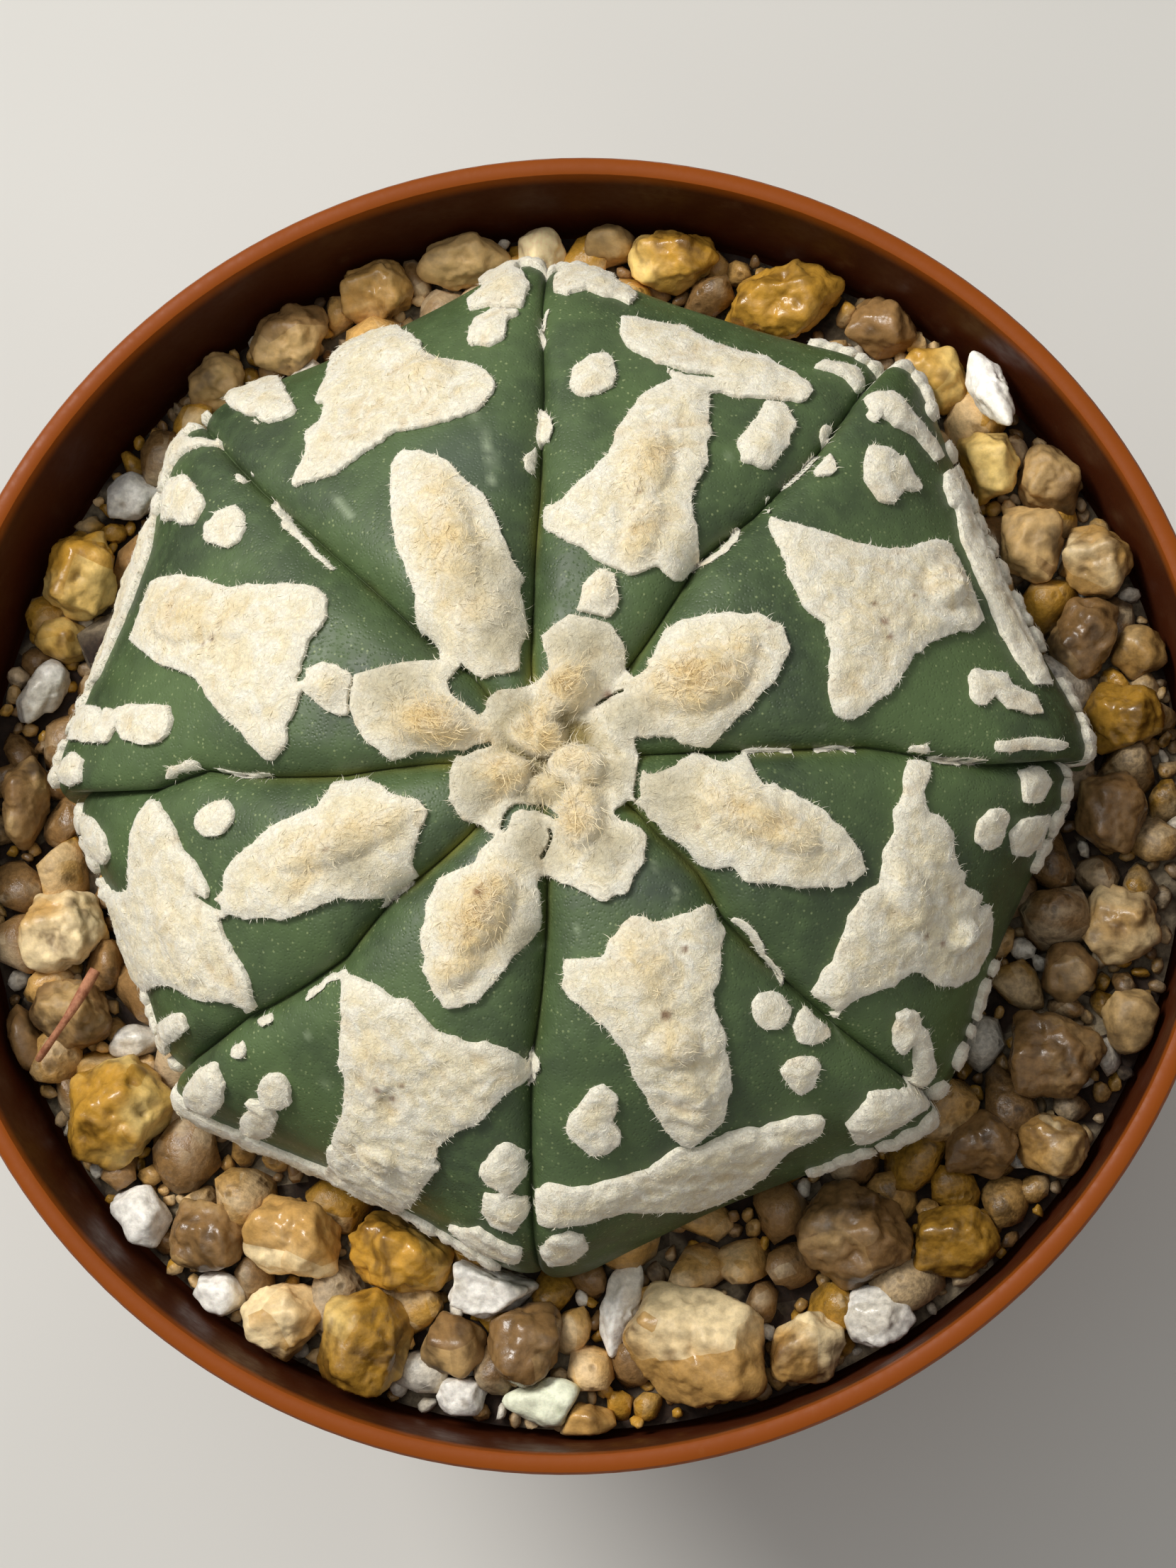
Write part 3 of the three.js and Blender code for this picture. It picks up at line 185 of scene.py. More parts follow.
     10.8, 15.7, 11.1, 12.2, 12.2, 11.8, 12.6, 12.4, 13.6],
    [-28.8, 4.3, -27.7, 4.7, -26.7, 6.7, -25.2, 10.9, -24.2, 12.6, -24.6, 14.6, -24.7, 14.8, -26.4,
     15.2, -28.1, 14.6, -29, 12.6, -29.6, 9.6, -29.6, 6.6],
    [28.2, 3.2, 28.2, 5.6, 27.4, 8.8, 26.2, 12.2, 24.1, 16.6, 23.9, 16.7, 22.7, 16, 22.5, 14.9, 22.9,
     14, 23.4, 13.8, 23.5, 11.9, 24.8, 8.4, 25.2, 6.3, 25.8, 5, 26.7, 3.2],
    [16.9, -22.8, 17.9, -22.9, 18.5, -21.4, 19.6, -20.5, 21.2, -20.4, 21, -19.9, 21.3, -18.4, 20.5,
     -15.5, 20, -15.1, 20, -14.6, 19.8, -14.2, 19.1, -13.9, 18.4, -14.1, 18.2, -15.1, 18.4, -16.1, 18.7,
     -16.6, 19, -16.7, 19.5, -16.2, 19.6, -16.2, 20, -18.9, 19.8, -19, 17.4, -18.3, 16.9, -18.3, 15.9,
     -20.6],
    [-14.4, 19.4, -14.3, 19.8, -14.6, 20.3, -15.6, 21.4, -17, 23.4, -18, 24.2, -18.3, 24.3, -19.9, 23.6,
     -20.4, 21.9, -19, 20.4, -17.4, 19.5, -16.5, 19.4, -16.4, 19.3, -16.7, 19, -16.5, 18.8, -16.3, 19,
     -15.9, 18.8, -15.4, 18.9],
    [-28.6, 3.1, -28.5, 1.4, -28.3, 0.9, -27, 1, -25.2, 0.9, -24.2, 0.9, -23.7, 1.8, -23.1, 1.2, -21.4,
     0.9, -20.4, 1, -19.8, 1.4, -19.5, 2.3, -19.9, 3, -20.5, 3.2, -22.7, 3.2, -23.7, 3.1, -24.3, 2.8,
     -25, 3, -25.3, 2.6, -26, 3.1, -28.1, 3.2],
    [-5, 29, -4.4, 27.4, -5.2, 26.6, -4.9, 25.7, -3.6, 25.6, -3.2, 25.2, -4.4, 24.8, -4.4, 24.3, -4.6,
     24.1, -4.7, 23.3, -4.4, 22.8, -3.2, 22.5, -2.4, 22.9, -2.3, 24.3, -1.8, 24.6, -1.3, 26.9, -2.1,
     28.3, -3.3, 29.1],
    [-14, -16.6, -14.7, -16.6, -15.3, -17.3, -15.6, -18.1, -15.6, -18.8, -16.4, -18.7, -16.6, -18.9,
     -16.5, -19.4, -17.3, -20.1, -18.6, -22.3, -18.6, -22.5, -17.6, -23.2, -16.1, -21.9, -15.1, -20.2,
     -15, -19.3, -14.5, -19.3, -13.7, -18.7, -13.5, -17.4, -13.7, -16.8],
    [5, 27.6, 2.6, 29.4, 0.5, 29.2, -0.2, 27.9, 0, 26.7, 0.8, 26.2, 1.9, 26.8, 2.8, 26.4, 3.6, 26.6,
     4.5, 26.2],
    [-2, -26, -1.5, -25.4, -1.1, -25.1, -1, -24.8, -1.1, -23.8, -2, -23.3, -1.3, -22.5, -1, -22.4, -0.9,
     -22, -1.1, -21, -1.7, -20.1, -2, -20, -2.6, -20.2, -3.5, -21.6, -3.1, -22.5, -2.4, -23, -2.6,
     -23.2, -3.4, -23.3, -3.6, -24.4, -3.2, -25.4],
    [-23.4, 15.6, -23, 13.9, -21.5, 13.7, -20.9, 13.2, -19.7, 13.1, -19.3, 13.4, -18.8, 14.1, -19.1,
     14.7, -19.5, 15, -19.8, 15.3, -19.8, 15.5, -20.1, 15.6, -20.6, 16.2, -22.8, 16.2],
    [-19, 18.4, -19.2, 18.5, -20.9, 18.5, -22.6, 19.4, -24.3, 19.2, -25.4, 17.6, -24.7, 16.6, -24.4,
     16.6, -23.2, 16.9, -21.3, 17.6, -19.2, 18],
    [-6.3, -27.5, -5.4, -28.8, -2.7, -29, -2, -28.9, -1.6, -27.5, -3.9, -26],
    [3.2, -16.3, 2.4, -16.6, 1.7, -17.7, 1.3, -18.1, 1.3, -18.5, 1.1, -18.8, 1.1, -19.1, 1.7, -19.9,
     2.3, -20.6, 2.6, -20.7, 3.3, -20.6, 3.9, -20.1, 4, -19.3, 3.6, -18.5, 3.9, -17.7, 3.9, -17.1],
    [-28.6, -3.3, -28.6, -6.2, -26.3, -6.4, -25.2, -5.6, -25.3, -4.6, -25.5, -4.2, -26.6, -3.5],
    [20.8, 14.4, 19.4, 16.2, 19, 16.1, 18.2, 16.4, 17.1, 16.4, 17, 16.2, 16.8, 15.3, 16.8, 14.4, 17.7,
     13.3, 18.2, 13.2, 18.7, 13.2, 19.4, 14.2, 20.1, 14.1],
    [29, -6.4, 28.6, -4.3, 26.2, -4.1, 25.2, -4.9, 26, -6.5, 27.4, -6.9],
    [22.9, 16.9, 21.8, 17.8, 20.1, 18.6, 18.7, 19.7, 17.2, 19.6, 17.3, 18.7, 17.1, 18.3, 17.2, 18, 17.6,
     17.7, 17.9, 17.8, 17.9, 18.1, 18.8, 17.6, 20.4, 17.4, 22, 16.4],
    [26.7, 1.6, 26.4, 2.7, 25.1, 3.4, 24.9, 4, 22.8, 4.3, 22.3, 3.9, 22.2, 2.8, 22.5, 2.2, 23.1, 2.1,
     23.8, 2.7, 24.5, 1.9, 25.2, 1.8, 25.7, 1.6],
    [-24.6, -17.6, -23.4, -17.6, -21.4, -16.3, -20.1, -15.2, -20.2, -14.4, -20.5, -14.2, -21.4, -14.4,
     -23.8, -16.1],
    [-0.4, -28.9, 1, -28.8, 2, -27.6, 1.8, -26.4, 1, -25.7, -0.1, -26.2, -0.8, -27.4],
    [3.3, 22.1, 2.3, 21.8, 1.4, 21, 1.3, 19.9, 1.5, 19.4, 1.9, 19.1, 3, 19.3, 3.6, 19.8, 3.8, 20.4, 3.7,
     21.4],
    [-18.8, 12.8, -18.7, 12.1, -18.5, 11.9, -17.1, 11.4, -16.3, 11.7, -15.8, 12.5, -16.1, 13.4, -16.7,
     13.9, -18, 13.5, -18.2, 13.2, -18.6, 13.1],
    [-28.8, -1.4, -27.4, -1.7, -26.3, -1.3, -26, 0, -27.2, 0.4, -28.5, -0.2],
    [24.5, -3.3, 23.7, -3.3, 22.9, -4, 22.9, -5.2, 23.5, -5.7, 24, -5.8, 24.7, -5.5, 25, -3.9],
    [13.1, -18.1, 13.7, -17.8, 14, -17.3, 14.2, -16.2, 14.1, -15.9, 13.8, -15.7, 13, -15.6, 12.4, -15.8,
     12, -16.4, 12.5, -17.5],
    [25.7, -1.5, 25.9, -3, 26, -3.3, 27.1, -3.4, 28.2, -2.3, 27.4, -1.2],
    [-17.9, -3.4, -17.6, -3.7, -17.3, -3.8, -16.6, -3.8, -16.2, -3.7, -15.6, -3, -15.6, -2.5, -15.8,
     -2.2, -16.2, -1.9, -17, -1.8, -17.9, -2.6, -18, -3.2],
    [10.5, -12.4, 10.5, -13.2, 11, -13.8, 11.4, -14, 12.3, -13.8, 12.7, -13.3, 12.8, -13, 12.6, -12.7,
     12.2, -12.3, 11.7, -12, 11, -12],
    [14.6, 21.7, 16, 21.4, 17.2, 20.4, 18.2, 20.7, 17.4, 22, 15.4, 22.4],
    [28.1, -0.1, 26.8, 0.4, 25.2, 0.5, 23.5, 0.4, 23.4, 0.2, 23.4, -0.2, 23.6, -0.3, 25.3, -0.3, 27.6,
     -0.5],
    [15.1, -14.8, 13.6, -13.2, 13, -13.3, 12.6, -14, 12.9, -14.8, 13.5, -15.1, 14.2, -15],
    [-0.3, 19.2, -0.4, 19, -0.5, 17.2, -0.3, 16.8, -1, 15.7, -0.9, 15.1, -0.6, 14.9, -0.3, 15.3, -0.3,
     15.9, -0.1, 16.9, 0, 17, 0.3, 16.8, 0.4, 17.2, 0.6, 17.5, 0.4, 18.3, 0.1, 18.7, 0.1, 18.9],
    [-14.4, 13.4, -13.9, 12.4, -13.7, 12.3, -13.5, 12.4, -13.2, 12, -12.5, 11.5, -12.3, 11.1, -12, 11.1,
     -12.1, 11.6, -13.2, 12.6, -13.3, 12.8, -13.9, 13.3],
    [-20.6, -1, -20.5, -1.1, -19.6, -0.7, -18.6, -0.5, -18.3, -0.2, -18.3, 0.1, -18.8, 0.2, -20, -0.3,
     -20.3, -0.6],
    [15, 16.1, 14.2, 15, 14.3, 14.6, 15, 14.6, 15.4, 14.8, 15.4, 15.5, 15.2, 16],
    [15.7, 18, 14.8, 17.9, 14.7, 17.2, 14.9, 17, 15.4, 16.8, 15.5, 17, 15.6, 17.4, 15.8, 17.7],
    [-16.9, -15.9, -16.6, -16, -15.9, -15.9, -15.8, -15.6, -15.8, -15.2, -16.2, -15, -16.4, -15.3,
     -16.8, -15.4, -16.9, -15.6],
    [-15.9, -14.2, -14.9, -14.2, -14.3, -13.9, -14.1, -13.7, -14.3, -13.6, -14.7, -13.6, -15.4, -13.9],
    [20.3, -0.3, 19.8, 0.4, 19.1, 0.4, 19, 0.1, 19.2, -0.1, 20.2, -0.4],
    [-17.5, 16.3, -17.3, 15.4, -16.8, 15.2, -16.7, 15.4, -16.8, 15.7],
    [12.5, 14.1, 12.4, 14.1, 11.7, 13.7, 11.7, 13.5, 11.9, 13.4],
    [-12.5, -12.1, -12, -12.2, -11.6, -11.8, -12.1, -11.8],
    [-16.8, 16.2, -16.3, 15.7, -16.1, 15.7, -16.2, 16],
]

# Outline of bare skin enclosed by the wool
BARE = [
    [7.6, 0.3, 6.5, -0.5, 5.7, -0.8, 5.3, -0.4, 5, 0.7, 5.9, 1, 6.8, 1, 7.3, 0.6],
]

# Gaps between touching parts of the wool: points from end to end and half the width
GAPS = [
    ([[1.8, 7.3], [2.6, 7.1], [3.6, 6.9], [4.6, 6.8]], 0.07),
    ([[2, 9.8], [3.1, 9.75], [4.3, 9.2]], 0.1), ([[-9, 5], [-9.1, 4.1], [-9.3, 3], [-9, 1.8]], 0.03),
    ([[6.2, 21.4], [7.6, 20.9], [9, 20.8]], 0.14), ([[10, 19.3], [12, 19.2], [14, 19]], 0.1),
    ([[5, 0.9], [6.4, 0.75], [7.8, 0.45], [8.6, 0.3]], 0.1),
    ([[-4.6, 0.5], [-3.6, 0.45], [-2.4, 0.9]], 0.08), ([[0.7, -3.5], [0.8, -4], [0.3, -4.9]], 0.04),
    ([[-1.6, -3.4], [-1.2, -2.5], [0.2, -2.4], [1, -2.9]], 0.12),
    ([[5, -2], [5.1, -1], [5.3, 0.3]], 0.08), ([[3, 2.7], [3.6, 3.1], [4.4, 3.4]], 0.03),
    ([[6.8, -20.7], [7.8, -21.1], [8.8, -20.6]], 0.1),
    ([[-16.6, -7.4], [-17.3, -7.4], [-18, -7]], 0.14),
    ([[13.7, -12.9], [14.5, -13.2], [15, -13.6]], 0.1), ([[-5.1, 25.4], [-3.6, 25.3], [-1.6, 25]], 0.1),
]

# Thin wool flecks that lie in the grooves: points from end to end and half the width
GROOVE_FLECKS = [
    ([[7.9, 9.9], [9, 10.4], [9.9, 11.2], [10.3, 12]], 0.17),
    ([[9.8, -8.3], [10.7, -9], [11.3, -10.2]], 0.2),
    ([[11.5, -10.5], [12.1, -11.2], [12.5, -12]], 0.16),
    ([[-12.3, -12.4], [-10.9, -11.3], [-9.9, -10.9]], 0.14),
    ([[-7.9, -7.4], [-7.1, -6.7], [-6.5, -6.2]], 0.14),
    ([[10.4, 0.25], [11.4, 0.35], [12.9, 0.2]], 0.13),
    ([[-12.9, 11.9], [-11.9, 11], [-10.9, 10.2]], 0.12),
    ([[-17.2, -0.5], [-15.8, -0.7], [-14.2, -0.6]], 0.14),
    ([[-0.4, 23.2], [-0.5, 24.2], [-0.3, 25.4]], 0.13),
    ([[14.2, 0.2], [15.4, 0.25], [16.2, 0.1]], 0.12),
    ([[-0.5, -15.4], [-0.4, -16.4], [-0.7, -17.2]], 0.12),
    ([[20.6, -0.5], [21.8, -0.7], [23.2, -0.8]], 0.2),
    ([[12.9, 14.4], [13.8, 15.2], [14.6, 16.2]], 0.14),
    ([[-15, 14.2], [-13.9, 13], [-13.1, 12.1]], 0.16),
]

# Small tufts along the plant's widest edge: centre and radius
BORDER = [
    [-21.2, 20.5, 0.34], [-21.7, 19.7, 0.33], [-22.3, 19.5, 0.45], [-22.4, 18.4, 0.57],
    [-23.1, 17.3, 0.38], [-24, 16.9, 0.68], [-24.5, 15.4, 0.64], [-25.3, 13.5, 0.62],
    [-26.4, 12.4, 0.7], [-26.5, 11, 0.39], [-27, 10.4, 0.46], [-27.6, 9.6, 0.41], [-27.5, 8.4, 0.68],
    [-28.1, 7.2, 0.59], [-28.6, 6.2, 0.66], [-29.2, 4.7, 0.53], [-29.6, 3.5, 0.65], [-29.4, 2, 0.51],
    [-29.7, 0.8, 0.38], [-30.1, 0.1, 0.57], [-30, -1, 0.66], [-29.9, -3.1, 0.42], [-29.5, -4, 0.63],
    [-29, -5.4, 0.61], [-28.9, -6.5, 0.68], [-28.9, -7.8, 0.34], [-28.2, -8.6, 0.7],
    [-26.8, -13.1, 0.39], [-26.6, -13.9, 0.56], [-26.5, -15.2, 0.54], [-25.9, -16, 0.41],
    [-25.5, -16.8, 0.6], [-24.2, -17.6, 0.65], [-24, -19.1, 0.5], [-23, -19.9, 0.34],
    [-22.3, -20.5, 0.62], [-21.6, -21.6, 0.38], [-20.7, -22.4, 0.67], [-19.7, -23.2, 0.71],
    [-18.8, -24.1, 0.6], [-17.9, -24.9, 0.5], [-17, -25.3, 0.64], [-13.9, -27.2, 0.64],
    [-12.6, -27.9, 0.42], [-11.8, -28.1, 0.7], [-10.4, -28.6, 0.38], [-9.7, -29.2, 0.37],
    [-8.9, -29.1, 0.37], [-8.2, -29.4, 0.6], [-6.9, -29.6, 0.46], [-6.2, -29.9, 0.43],
    [-5.5, -30, 0.65], [-4.3, -30.2, 0.66], [15.8, -26.3, 0.46], [16.6, -25.8, 0.43],
    [17.3, -25.1, 0.63], [18.2, -24.4, 0.54], [19.4, -23.5, 0.66], [20.2, -22.6, 0.73],
    [21.3, -21.8, 0.72], [22.4, -20.6, 0.73], [24, -18.7, 0.73], [25.3, -17.6, 0.37],
    [25.9, -16.7, 0.34], [26.1, -16, 0.54], [26.4, -15.2, 0.66], [27.3, -14, 0.49], [29.7, -7.4, 0.57],
    [29.8, -6.4, 0.68], [30.3, -5.3, 0.34], [30, -4.6, 0.62], [30.6, -3.7, 0.36], [30.4, -2.7, 0.68],
    [30.6, -1.4, 0.53], [30.6, -0.4, 0.48], [30.5, 0.4, 0.64], [30.5, 1.5, 0.42], [30.5, 2.6, 0.53],
    [30.4, 3.6, 0.57], [30.1, 6.4, 0.33], [29.7, 6.9, 0.67], [29.2, 8.1, 0.45], [29, 9.3, 0.7],
    [28.8, 11, 0.33], [28.2, 11.4, 0.73], [27.6, 13, 0.64], [26.4, 14, 0.7], [26.2, 15.6, 0.68],
    [25.4, 16.4, 0.52], [25, 17.3, 0.5], [24.2, 18.4, 0.6], [21.9, 19.7, 0.51], [21.7, 20.8, 0.55],
    [21.1, 21.6, 0.59], [20.1, 22.5, 0.56], [19.2, 23.1, 0.58], [18.2, 23.4, 0.34], [17.7, 24.4, 0.5],
    [16.9, 24.9, 0.45], [16.1, 25.4, 0.53], [3.1, 29.2, 0.32], [2.4, 29, 0.51], [1.3, 29.7, 0.53],
    [0.2, 29.7, 0.42], [-0.9, 29.5, 0.71], [-2, 29.7, 0.48], [-3.1, 29.2, 0.64], [-4.3, 29.1, 0.58],
]

# Swellings of the wool: centre, half length, half width, turn in degrees, height, how tan, how fluffy
TUFTS = [
    [1.7, 3.7, 1.25, 1.15, 0, 1.1, 0.9, 1], [0.5, 2.4, 1, 0.7, 40, 0.6, 0.7, 1],
    [0.1, 1.3, 1.5, 1, -15, 0.85, 0.85, 1], [-1.5, -0.7, 1.2, 1.05, 0, 0.85, 0.85, 1],
    [2.1, -0.4, 1.35, 1.1, -10, 1.15, 0.55, 0.9], [2.3, -2.9, 1.55, 1.05, 80, 1, 0.8, 0.9],
    [0.5, -1.4, 1.1, 0.7, 0, 0.4, 0.7, 1], [2.1, 1.3, 0.7, 0.6, 0, -0.3, 0.9, 1],
    [-5.1, 1.8, 1.8, 1.15, -20, 1, 1, 1], [-6.6, 2.8, 0.9, 0.45, 120, 0.5, 0, 1],
    [-2.7, 1.2, 0.9, 0.5, -20, 0.1, 0.6, 0.7], [7.8, 3.7, 2.3, 1.4, 10, 1.05, 0.9, 0.7],
    [9.7, 4.6, 1.5, 0.8, 60, 0.4, 0.45, 0.6], [-2.6, -7.6, 2.1, 1.15, 55, 1, 0.95, 0.7],
    [-3.7, -10.1, 1.3, 0.7, 40, 0.4, 0.6, 0.6], [-4.3, 11, 3.2, 1.2, 105, 0.6, 0.7, 0.4],
    [-2.7, 7.4, 1.3, 1.1, 0, 0.35, 0.45, 0.5], [10.8, -3.1, 2.9, 1, -24, 0.7, 0.7, 0.5],
    [-9.5, -3.9, 3, 0.95, 18, 0.6, 0.55, 0.4], [-10.9, -5.4, 1.6, 0.5, 35, 0.1, 0.5, 0.3],
    [5.4, 14.8, 1.9, 1.1, 75, 0.6, 0.6, 0.4], [5.2, 11.4, 1.7, 0.8, 70, 0.35, 0.6, 0.3],
    [21.6, 8.9, 1.3, 1.1, 20, 0.75, 0.25, 0.1], [-19.4, 7.9, 2.4, 1.4, -10, 0.55, 0.55, 0.1],
    [-9.2, -21.7, 1.1, 1, 0, 0.6, 0.15, 0.1], [22.4, -10.4, 0.95, 0.9, 0, 0.7, 0, 0.1],
    [6.6, -14.1, 1.2, 1.1, 0, 0.5, 0.45, 0.2], [5.3, -9.9, 1.8, 1.2, -70, 0.25, 0.5, 0.2],
    [-6.6, 21, 1.7, 1.2, -20, 0.5, 0.35, 0.1], [-10.2, 23.6, 1.6, 1.1, 0, 0.35, 0, 0.1],
    [-8.4, -15.6, 2, 1, 80, 0.15, 0.25, 0.1], [17, 6.8, 1.8, 1.3, 20, 0.15, 0.2, 0.1],
    [-16, 7.4, 1.6, 1, 0, 0.15, 0.35, 0.1], [-19.6, -9.6, 2.4, 1, -60, 0.3, 0.2, 0.1],
    [-7.6, -17.6, 1.3, 0.7, 60, -0.15, 0.3, 0.1], [7.4, -17.4, 1.8, 0.9, -75, 0.35, 0.15, 0.1],
    [18.6, -7.4, 2.2, 0.9, -60, 0.4, 0.05, 0.1], [3.2, 8.4, 0.9, 0.8, 0, 0.3, 0.15, 0.1],
    [-10.3, 3.8, 1, 0.9, 0, 0.3, 0.2, 0.1],
]

# Worn greyish wool near the crown: centre and radius
GREYS = [
    [2.4, 5.6, 1.6], [-1.4, 2.8, 1.2], [-3, -1.4, 1.5], [-7, 3.7, 1.7], [0.1, -4.2, 1.4],
    [3.6, -4.6, 1], [6.6, -1.6, 1.4], [4.9, 2.2, 1.3], [4.2, -0.8, 0.8], [-1.8, 6.4, 1.5],
    [-2.6, 9.2, 1.6], [-9, -4.8, 1.2], [-0.6, -9, 1],
]

# Small brown stains on the wool: centre and radius
STAINS = [
    [17.3, 6.7, 0.32], [16.8, 7.6, 0.25], [18.4, 7.5, 0.22], [17.6, 5.9, 0.2], [19.2, 8.1, 0.18],
    [-16.9, 6.5, 0.34], [-16.3, 7.2, 0.25], [-17.5, 6.2, 0.22], [-8.2, -16.6, 0.3], [-7.6, -17.3, 0.28],
    [-6.9, -16.3, 0.2], [-8.9, -18, 0.22], [20.9, -10.4, 0.25], [19.8, -9.8, 0.18], [6.2, -12.4, 0.26],
    [7.2, -9.3, 0.16], [11.4, 6.4, 0.22], [7.9, -3.5, 0.2], [5, 13.2, 0.2], [4.7, 12.4, 0.16],
    [-12.3, 27.5, 0.2], [-10, -4.3, 0.22], [3.6, 3.2, 0.3], [-2.6, -6.6, 0.3],
]

# Pale scars and scratches of the skin: points from end to end and half the width
SCARS = [
    ([[-3.6, 18.5], [-3.2, 17.3], [-2.9, 16.4], [-2.4, 15.5], [-2.5, 14.2]], 0.1),
    ([[-2.6, 15.6], [-2.3, 15.2]], 0.16), ([[2, -8.3], [2.2, -8.7], [2.7, -9.1]], 0.07),
    ([[3.2, -8.6], [3.3, -8.9]], 0.06), ([[6.7, -6.2], [6.9, -6.8], [6.6, -7.4]], 0.05),
    ([[5.8, -5.2], [6, -5.9]], 0.04), ([[-12.4, -17.6], [-11.6, -17.1], [-11.4, -16.6]], 0.1),
    ([[-12.2, -14.2], [-11, -14.1]], 0.07), ([[-10.9, 14.3], [-10.4, 13.3], [-9.8, 12.8]], 0.1),
    ([[-16.4, 10.7], [-16.3, 10.6]], 0.12), ([[15.2, -14.3], [15.6, -15.4], [16.2, -16.6]], 0.07),
    ([[9.9, 15.8], [9.7, 15.6]], 0.12), ([[-0.6, -9.3], [0.2, -9.5]], 0.1),
    ([[14, 1.4], [14.2, 1.3]], 0.1), ([[9, 3], [9.2, 2.9]], 0.06),
]

# Greyish bruises of the skin: centre, half width, half height and strength
BRUISES = [[-4.6, 15.6, 2.6, 2.0, 1], [6, -6.2, 1.6, 1.3, 0.6]]

# Pot: corners round it; number of drainage holes, their radius, and that of the ring they lie on
POT_SIDES = 160
HOLES, HOLE_RADIUS, HOLE_RING = 6, 2.5, 13

# Detail of the meshes of small and large stones, and the diagonal from which a stone is large
SMALL_DETAIL, LARGE_DETAIL, LARGE_STONE = 4, 5, 6.2

# Grit: radii of the bed's top and foot and level of its top; radii between which grains lie, their
# lowest level, and how many places are tried for them
BED, BED_FOOT, BED_LEVEL = 33.0, 31.4, 51.9
GRAINS_FROM, GRAINS_TO, GRAIN_LEVEL, TRIES = 19.5, 33.2, 51.8, 16000

# Dry root from end to end
ROOT = [[-25.6, -8.6, 56], [-26.6, -10.6, 56.45], [-27.8, -12.2, 56], [-28.9, -13.3, 54.9]]

# Camera: lean from straight above in degrees, point looked at, and distance in metres
CAMERA_LEAN = (5.5, -9)
CAMERA_AIM = (1.5, 0.55, 60)
CAMERA_DISTANCE = 0.1708

# Lights: name, place in metres, size, share of the key light's power and colour
LIGHTS = (
    ("key", (-0.25, 0.2, 0.5), 0.2, 1, (1.0, 0.985, 0.96)),
    ("top", (-0.08, 0.03, 0.62), 0.4, 0.16, (0.94, 0.97, 1.0)),
)


def srgb(code):
    """Linear colour of a hexadecimal code."""
    parts = [int(code[i:i + 2], 16) / 255 for i in (0, 2, 4)]
    return tuple(c / 12.92 if c <= 0.04045 else ((c + 0.055) / 1.055) ** 2.4 for c in parts)


def scaled(value, share):
    """Colour made darker or brighter by a share."""
    return tuple(c * share for c in value)


def colour(name, code, description):
    return bpy.props.FloatVectorProperty(
        name=name, description=description, subtype="COLOR", size=3, min=0, max=1, default=srgb(code))


def length(name, millimetres, description):
    return bpy.props.FloatProperty(
        name=name, description=description, default=millimetres * MM, min=0, unit="LENGTH", precision=5)


# ---- Numbers that repeat ----

SIDE = 32
LATTICES = [np.random.RandomState(seed).rand(SIDE, SIDE, SIDE) for seed in range(8)]


def noise(points, seed=0):
    """Smooth noise from -1 to 1 at points given in its own wavelengths."""
    table = LATTICES[seed % len(LATTICES)]
    cell = np.floor(points).astype(int)
    part = points - cell
    part = part * part * (3 - 2 * part)
    low, high = cell % SIDE, (cell + 1) % SIDE
    total = 0
    for i, x in ((low, 1 - part[:, 0]), (high, part[:, 0])):
        for j, y in ((low, 1 - part[:, 1]), (high, part[:, 1])):
            for k, z in ((low, 1 - part[:, 2]), (high, part[:, 2])):
                total = total + table[i[:, 0], j[:, 1], k[:, 2]] * x * y * z
    return 2 * total - 1


def rough(points, octaves=3, seed=0):
    """Noise over several octaves, from about -1 to 1."""
    total, size, norm = 0, 1.0, 0
    for octave in range(octaves):
        total = total + size * noise(points * 2.03 ** octave + 17.3 * octave, seed + octave)
        norm += size
        size *= 0.5
    return total / norm


def flat(x, y, scale, offset=0.0):
    """Points of the flat map as noise points of one wavelength."""
    return np.stack([x / scale + offset, y / scale - offset, np.full_like(x, offset)], -1)


def along(stations, x):
    """Value at x between stations of place and value."""
    stations = np.array(stations, float)
    return np.interp(x, stations[:, 0], stations[:, 1])


def crest_line(steps=24000):
    """Arc length, point and direction along the crest line of a rib."""
    knots = np.array(CREST, float)
    place = np.linspace(0, len(knots) - 1, steps + 1)
    index = np.minimum(np.floor(place).astype(int), len(knots) - 2)
    w = (place - index)[:, None]
    knot = lambda k: knots[np.clip(k, 0, len(knots) - 1)]
    p0, p1, p2, p3 = knot(index - 1), knot(index), knot(index + 1), knot(index + 2)
    v0, v1 = (p2 - p0) / 2, (p3 - p1) / 2
    line = (2 * p1 - 2 * p2 + v0 + v1) * w ** 3 + (3 * p2 - 3 * p1 - 2 * v0 - v1) * w ** 2 + v0 * w + p1
    arc = np.concatenate([[0], np.cumsum(np.hypot(*np.diff(line, axis=0).T))])
    tangent = np.gradient(line, axis=0)
    return arc, line, tangent / np.linalg.norm(tangent, axis=1)[:, None]


ARC, LINE, TANGENT = crest_line()


def place_in_rib(x, y):
    """Place between the two grooves of a rib, from -1 to 1, and half the rib's angle."""
    s, azimuth = np.hypot(x, y), np.degrees(np.arctan2(y, x))
    lows = [along(groove, s) for groove in GROOVES]
    place, half = np.full(s.shape, -1.0), np.full(s.shape, math.pi / 8)
    for low, high in zip(lows, lows[1:] + lows[:1]):
        width, offset = np.mod(high - low, 360), np.mod(azimuth - low, 360)
        found = offset < width
        place = np.where(found, 2 * offset / np.maximum(width, 1e-9) - 1, place)
        half = np.where(found, np.radians(width / 2), half)
    return place, half


